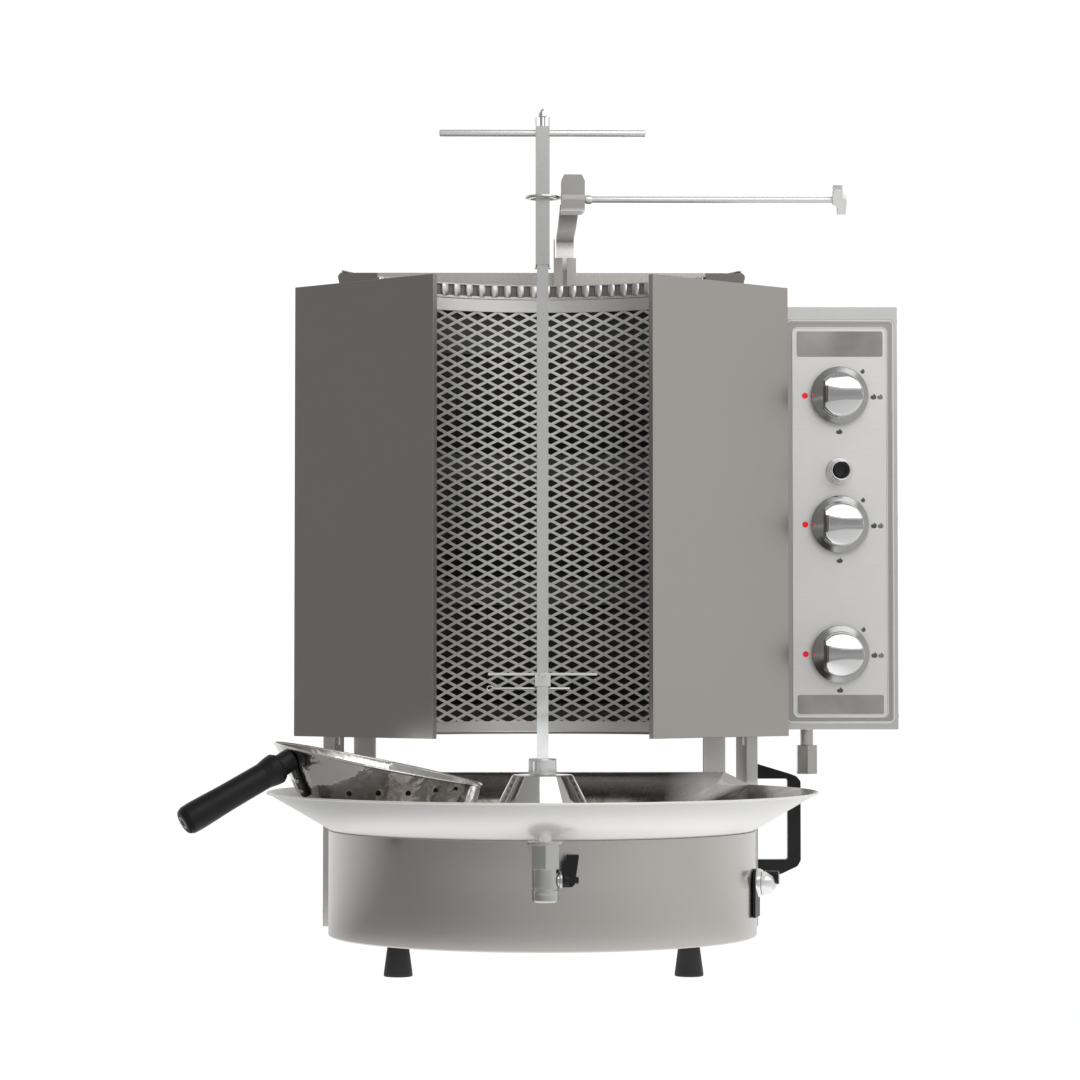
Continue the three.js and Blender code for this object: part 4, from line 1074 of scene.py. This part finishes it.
def add_back_detail():
    skin_back = BODY_BACK + SHEET
    shapes = [shape for x in (-120, 0, 120) for row in range(7) for base in (318, 640)
              for shape in louvre(x, skin_back, base + 17 * row, 84)]
    piece("back_louvres", shapes, [brushed, slot_dark], "stand", bevel=0.5)
    shapes = [shape for row in range(9)
              for shape in louvre(CONTROL_X, CONTROL_BACK, 560 + 17 * row, 90)]
    piece("box_louvres", shapes, [box_steel, slot_dark], "stand", bevel=0.5)
    heads = [screw((-214, skin_back, z), BACK, 2.6) for z in (275, 520, 760)]
    for side in (-1, 1):
        aside = (side, 0, 0)
        heads += [screw((side * 215, POST_BACK, z), BACK) for z in (190, 420, 600, 790)]
        heads += [screw((side * 245, REAR_BOX_BACK, z), BACK) for z in (46, 134)]
        heads += [screw((side * 260, y, 46), aside) for y in (225, 318)]
        heads += [screw((side * 236, y, z), aside, 2.8) for y in (122, 276) for z in (400, 640)]
    heads += [screw((CONTROL_SIDE, y, z), (1, 0, 0), 2.8)
              for y in (136, 241) for z in (282, 515, 748)]
    piece("case_screws", heads, plain_steel, "stand")
    plate = prism(rounded_rect(-42, 42, -24, 24, 4), 0.9)
    rivets = [(rivet_at(x, y, 0.9, 2, 1), 1) for x in (-37, 37) for y in (-19, 19)]
    piece("rating_blank", [plate, *rivets], [label_face, plain_steel], "stand",
          bevel=0.25, place=facing((-150, REAR_BOX_BACK, 92), BACK))
    face = prism(rounded_rect(-25, 25, -15.5, 15.5, 4), 3)
    wall = prism(rounded_rect(-13.5, 13.5, -10, 10, 2.5), 4.6)
    # The dark well is painted shade in the inlet's recess.
    well = prism(rounded_rect(-11.8, 11.8, -8.3, 8.3, 2), 0.3, shift(0, 0, 4.5))
    blades = [(prism(rounded_rect(x - 1, x + 1, y - 2.4, y + 2.4, 0.4), 1.6,
                     shift(0, 0, 4.4)), 2) for x, y in ((-7, -1.5), (0, 2.5), (7, -1.5))]
    fixings = [(rivet_at(x, 0, 3, 2.6, 1.2), 2) for x in (-19.5, 19.5)]
    piece("mains_inlet", [face, wall, (well, 1), *blades, *fixings],
          [black, slot_dark, brass], "stand", bevel=0.35,
          place=facing((150, REAR_BOX_BACK, 92), BACK))


# ---- carving pan ----
PAN_FRAME = Matrix.Translation(PAN_PLACE) @ turn("Y", PAN_DEGREES)


def pan_point(radius, angle, z):
    """Point on the skewed pan, whose rim is at 0 and whose base is shifted to the right."""
    return polar(radius, angle, z) + Vector((-PAN_SHIFT * z / PAN_DEPTH, 0, 0))


def dense(points, step=6):
    """The same line with no stretch much longer than the step."""
    out = []
    for a, b in zip(points, points[1:]):
        out += spaced(a, b, max(1, round((b - a).length / step)))[:-1]
    return out + [points[-1]]


def add_pan():
    def ring(radius, z, sides=160):
        return [pan_point(radius, 2 * pi * k / sides, z) for k in range(sides)]

    outside = fillet([(0.5, -PAN_DEPTH), (PAN_BASE, -PAN_DEPTH, 5), (PAN_RIM, 0)], 8, False)
    inside = fillet([(PAN_RIM - SHEET * 1.1, 0), (PAN_BASE - SHEET * 0.6, SHEET - PAN_DEPTH, 5),
                     (0.5, SHEET - PAN_DEPTH)], 8, False)
    walls = dense(outside) + [Vector((PAN_RIM - SHEET * 0.5, 0.5))] + dense(inside)
    bead = sweep(circle(1.5), along([PAN_FRAME @ v for v in ring(PAN_RIM - 0.6, -0.4)],
                                    closed=True), True)
    shapes = [moved(skin([ring(*p) for p in walls]), PAN_FRAME), bead]
    flare = (PAN_RIM - PAN_BASE) / PAN_DEPTH
    for degrees, z in ((252, -34), (270.7, -27), (288.6, -21), (305.7, -13), (320.4, -8)):
        angle = radians(degrees)
        for off, sign in ((0.15, 1), (-SHEET - 0.15, -1)):
            spot = pan_point(PAN_RIM + flare * z + off, angle, z)
            # Each hole in the wall is a dark disc on both faces: painted shade.
            eye = lathe([(0, 0.1), (3.1, 0.1), (3.1, -0.1), (0, -0.1)], 24)
            place = PAN_FRAME @ facing(spot, polar(1, angle, -flare) * sign)
            shapes.append((moved(eye, place), 1))
    piece("pan_bowl", shapes, [hammered, slot_dark], "scoop",
          ["scoop_pan"], sharp=40)


def add_pan_handle():
    """Grip, neck, riveted strap and hanging eye, set on the slope of the pan's wall."""
    rim_point = pan_point(PAN_RIM, PAN_HANDLE_ANGLE, 0)
    down = (pan_point(PAN_BASE, PAN_HANDLE_ANGLE, -PAN_DEPTH) - rim_point).normalized()
    around = polar(1, PAN_HANDLE_ANGLE + pi / 2)
    outward = around.cross(down).normalized()
    if outward.z > 0:
        outward.negate()
    wall = Matrix((around, down, outward)).transposed().to_4x4()

    def on_wall(distance, off):
        return rim_point + down * distance + outward * off

    azimuth, dip = radians(208), radians(38.5)
    axis = polar(cos(dip), azimuth, -sin(dip))
    root = on_wall(15, 16)
    grip = turned([(0, 0), (14, 0, 2), (17.2, 5, 3), (16.6, 12, 2), (14.6, 22, 10),
                   (14.9, 70, 40), (16.2, 108, 20), (15.8, 119, 4), (13, 125, 4), (0, 125)],
                  64, 8)
    neck_line = [on_wall(14, 1), on_wall(14, 7), root + axis, root + axis * 8]
    neck = sweep(circle(12.5, 32), along(neck_line, around))
    strap = prism(rounded_rect(-6.5, 6.5, 8, 58, 4), 3.2, Matrix.Translation(on_wall(0, 1)) @ wall)
    rivet = turned([(0, 0), (3.2, 0), (2.8, 1.6, 1), (0, 2)], 24, 4)
    rivets = [(moved(rivet, Matrix.Translation(on_wall(d, 4)) @ wall), 1) for d in (38, 51)]
    eye = turned([(4.2, 0, 0.4), (7.2, 0, 0.6), (7.2, 1.2, 0.5), (4.2, 1.2, 0.4)], 32, 3, True)
    piece("pan_grip", [moved(grip, facing(root, axis)), neck, strap, *rivets,
                       (moved(eye, facing(root + axis * 124.4, axis)), 1)],
          [black, plain_steel], "scoop", ["scoop_handle"], sharp=38,
          place=PAN_FRAME)


# ---- camera, light and stage ----
def add_camera():
    distance, yaw, pitch = 3636, radians(0.62), radians(2.183)
    data = bpy.data.cameras.new("camera")
    data.lens = 106.67
    data.sensor_width = 36
    data.clip_end = 100
    camera = add_object("camera", data)
    camera.location = SPIT + Vector((-2.95 - distance * sin(yaw), -distance * cos(yaw),
                                     345.3)) * MM
    camera.rotation_euler = (pi / 2 + pitch, 0, -yaw)
    scene.camera = camera


def add_light(name, azimuth, elevation, distance, width, height, power):
    """Soft box that looks at the middle of the body. Azimuth 0 is in front, 90 at +X."""
    a, e = radians(azimuth), radians(elevation)
    back = Vector((sin(a) * cos(e), -cos(a) * cos(e), sin(e)))
    data = bpy.data.lights.new(name, "AREA")
    data.shape = "RECTANGLE"
    data.size, data.size_y = width, height
    data.energy = power
    light = add_object(name, data)
    light.location = SPIT + Vector((0, 0, 0.5)) + back * distance
    light.rotation_euler = (-back).to_track_quat("-Z", "Y").to_euler()


def surroundings(tree, direction):
    """Studio round the oven: dark wall at the left, paler at the right and behind."""
    axes = axes_of(tree, direction)
    ramp = node(tree, "ValToRGB", {"Fac": spread(tree, axes["X"], 0, 1, -1, 1)})
    ramp.color_ramp.interpolation = "B_SPLINE"
    stops = ((0.0, 0.25), (0.12, 0.26), (0.3, 0.36), (0.5, 0.45), (0.75, 0.52), (1.0, 0.7))
    while len(ramp.color_ramp.elements) < len(stops):
        ramp.color_ramp.elements.new(0.5)
    for element, (position, value) in zip(ramp.color_ramp.elements, stops):
        element.position = position
        element.color = (value, value, value * 0.985, 1)
    behind = spread(tree, axes["Y"], 0, 0.75, 0.0, 0.97)
    return blend(tree, behind, ramp.outputs["Color"], (1.1, 1.1, 1.1))


def seen_apart(tree, output, mirrored, seen):
    """The camera sees one shader; light and mirrors see the other."""
    rays = node(tree, "LightPath").outputs["Is Camera Ray"]
    mix = node(tree, "MixShader", {"Fac": rays, 1: mirrored.outputs[0], 2: seen.outputs[0]})
    put(tree, output, {"Surface": mix.outputs[0]})


def add_world():
    world = bpy.data.worlds.new("studio")
    scene.world = world
    world.use_nodes = True
    tree = world.node_tree
    tree.nodes.clear()
    direction = node(tree, "TexCoord").outputs["Generated"]
    above = spread(tree, axes_of(tree, direction)["Z"], 0, 1, 0.4, 0.95)
    light = blend(tree, above, surroundings(tree, direction), (0.3, 0.3, 0.3))
    seen_apart(tree, node(tree, "OutputWorld"), node(tree, "Background", {"Color": light}),
               node(tree, "Background", {"Color": (1, 1, 1), "Strength": 1.05}))


def add_floor():
    """Pale floor: what it mirrors into the steel follows the walls, paler round the foot."""
    reach = 14
    corners = [(-reach, -reach, 0), (reach, -reach, 0), (reach, reach, 0), (-reach, reach, 0)]
    mesh = bpy.data.meshes.new("floor")
    mesh.from_pydata(corners, [], [(0, 1, 2, 3)])
    floor = add_object("floor", mesh)
    floor.location.z = -0.0005
    material, tree, shader = new_material("pale_floor")
    tree.nodes.remove(shader)
    place = own_place(tree)
    distance = node(tree, "VectorMath", {0: place}, operation="LENGTH").outputs["Value"]
    direction = node(tree, "VectorMath", {0: place}, operation="NORMALIZE").outputs["Vector"]
    near = spread(tree, distance, 1, 0, 0.34, 0.46)
    far = spread(tree, axes_of(tree, place)["Y"], 1, 0, -5.0, -3.6)
    foot = blend(tree, near, surroundings(tree, direction), (1.02, 1.02, 1.02))
    bounce = node(tree, "Emission", {"Color": blend(tree, far, foot, (0.95, 0.95, 0.95))})
    output = next(n for n in tree.nodes if n.type == "OUTPUT_MATERIAL")
    seen_apart(tree, output, bounce, node(tree, "Emission", {"Strength": 1.02}))
    mesh.materials.append(material)


add_camera()
add_world()
add_floor()
add_light("key", 29, 42, 2.0, 2.0, 1.62, 12.5)
add_light("rim", 150, 50, 3.2, 2.0, 1.6, 8)

add_drum()
add_feet()
add_tray()
add_tap()
add_spit()
add_burner_wall()
add_corner_caps()
add_heat_box()
add_wire_mesh()
add_panel()
add_knobs()
add_igniter()
add_arm_parts()
add_bow_handle()
add_switch()
add_back_detail()
add_pan()
add_pan_handle()

scene.view_settings.view_transform = "Standard"
scene.view_settings.look = "None"
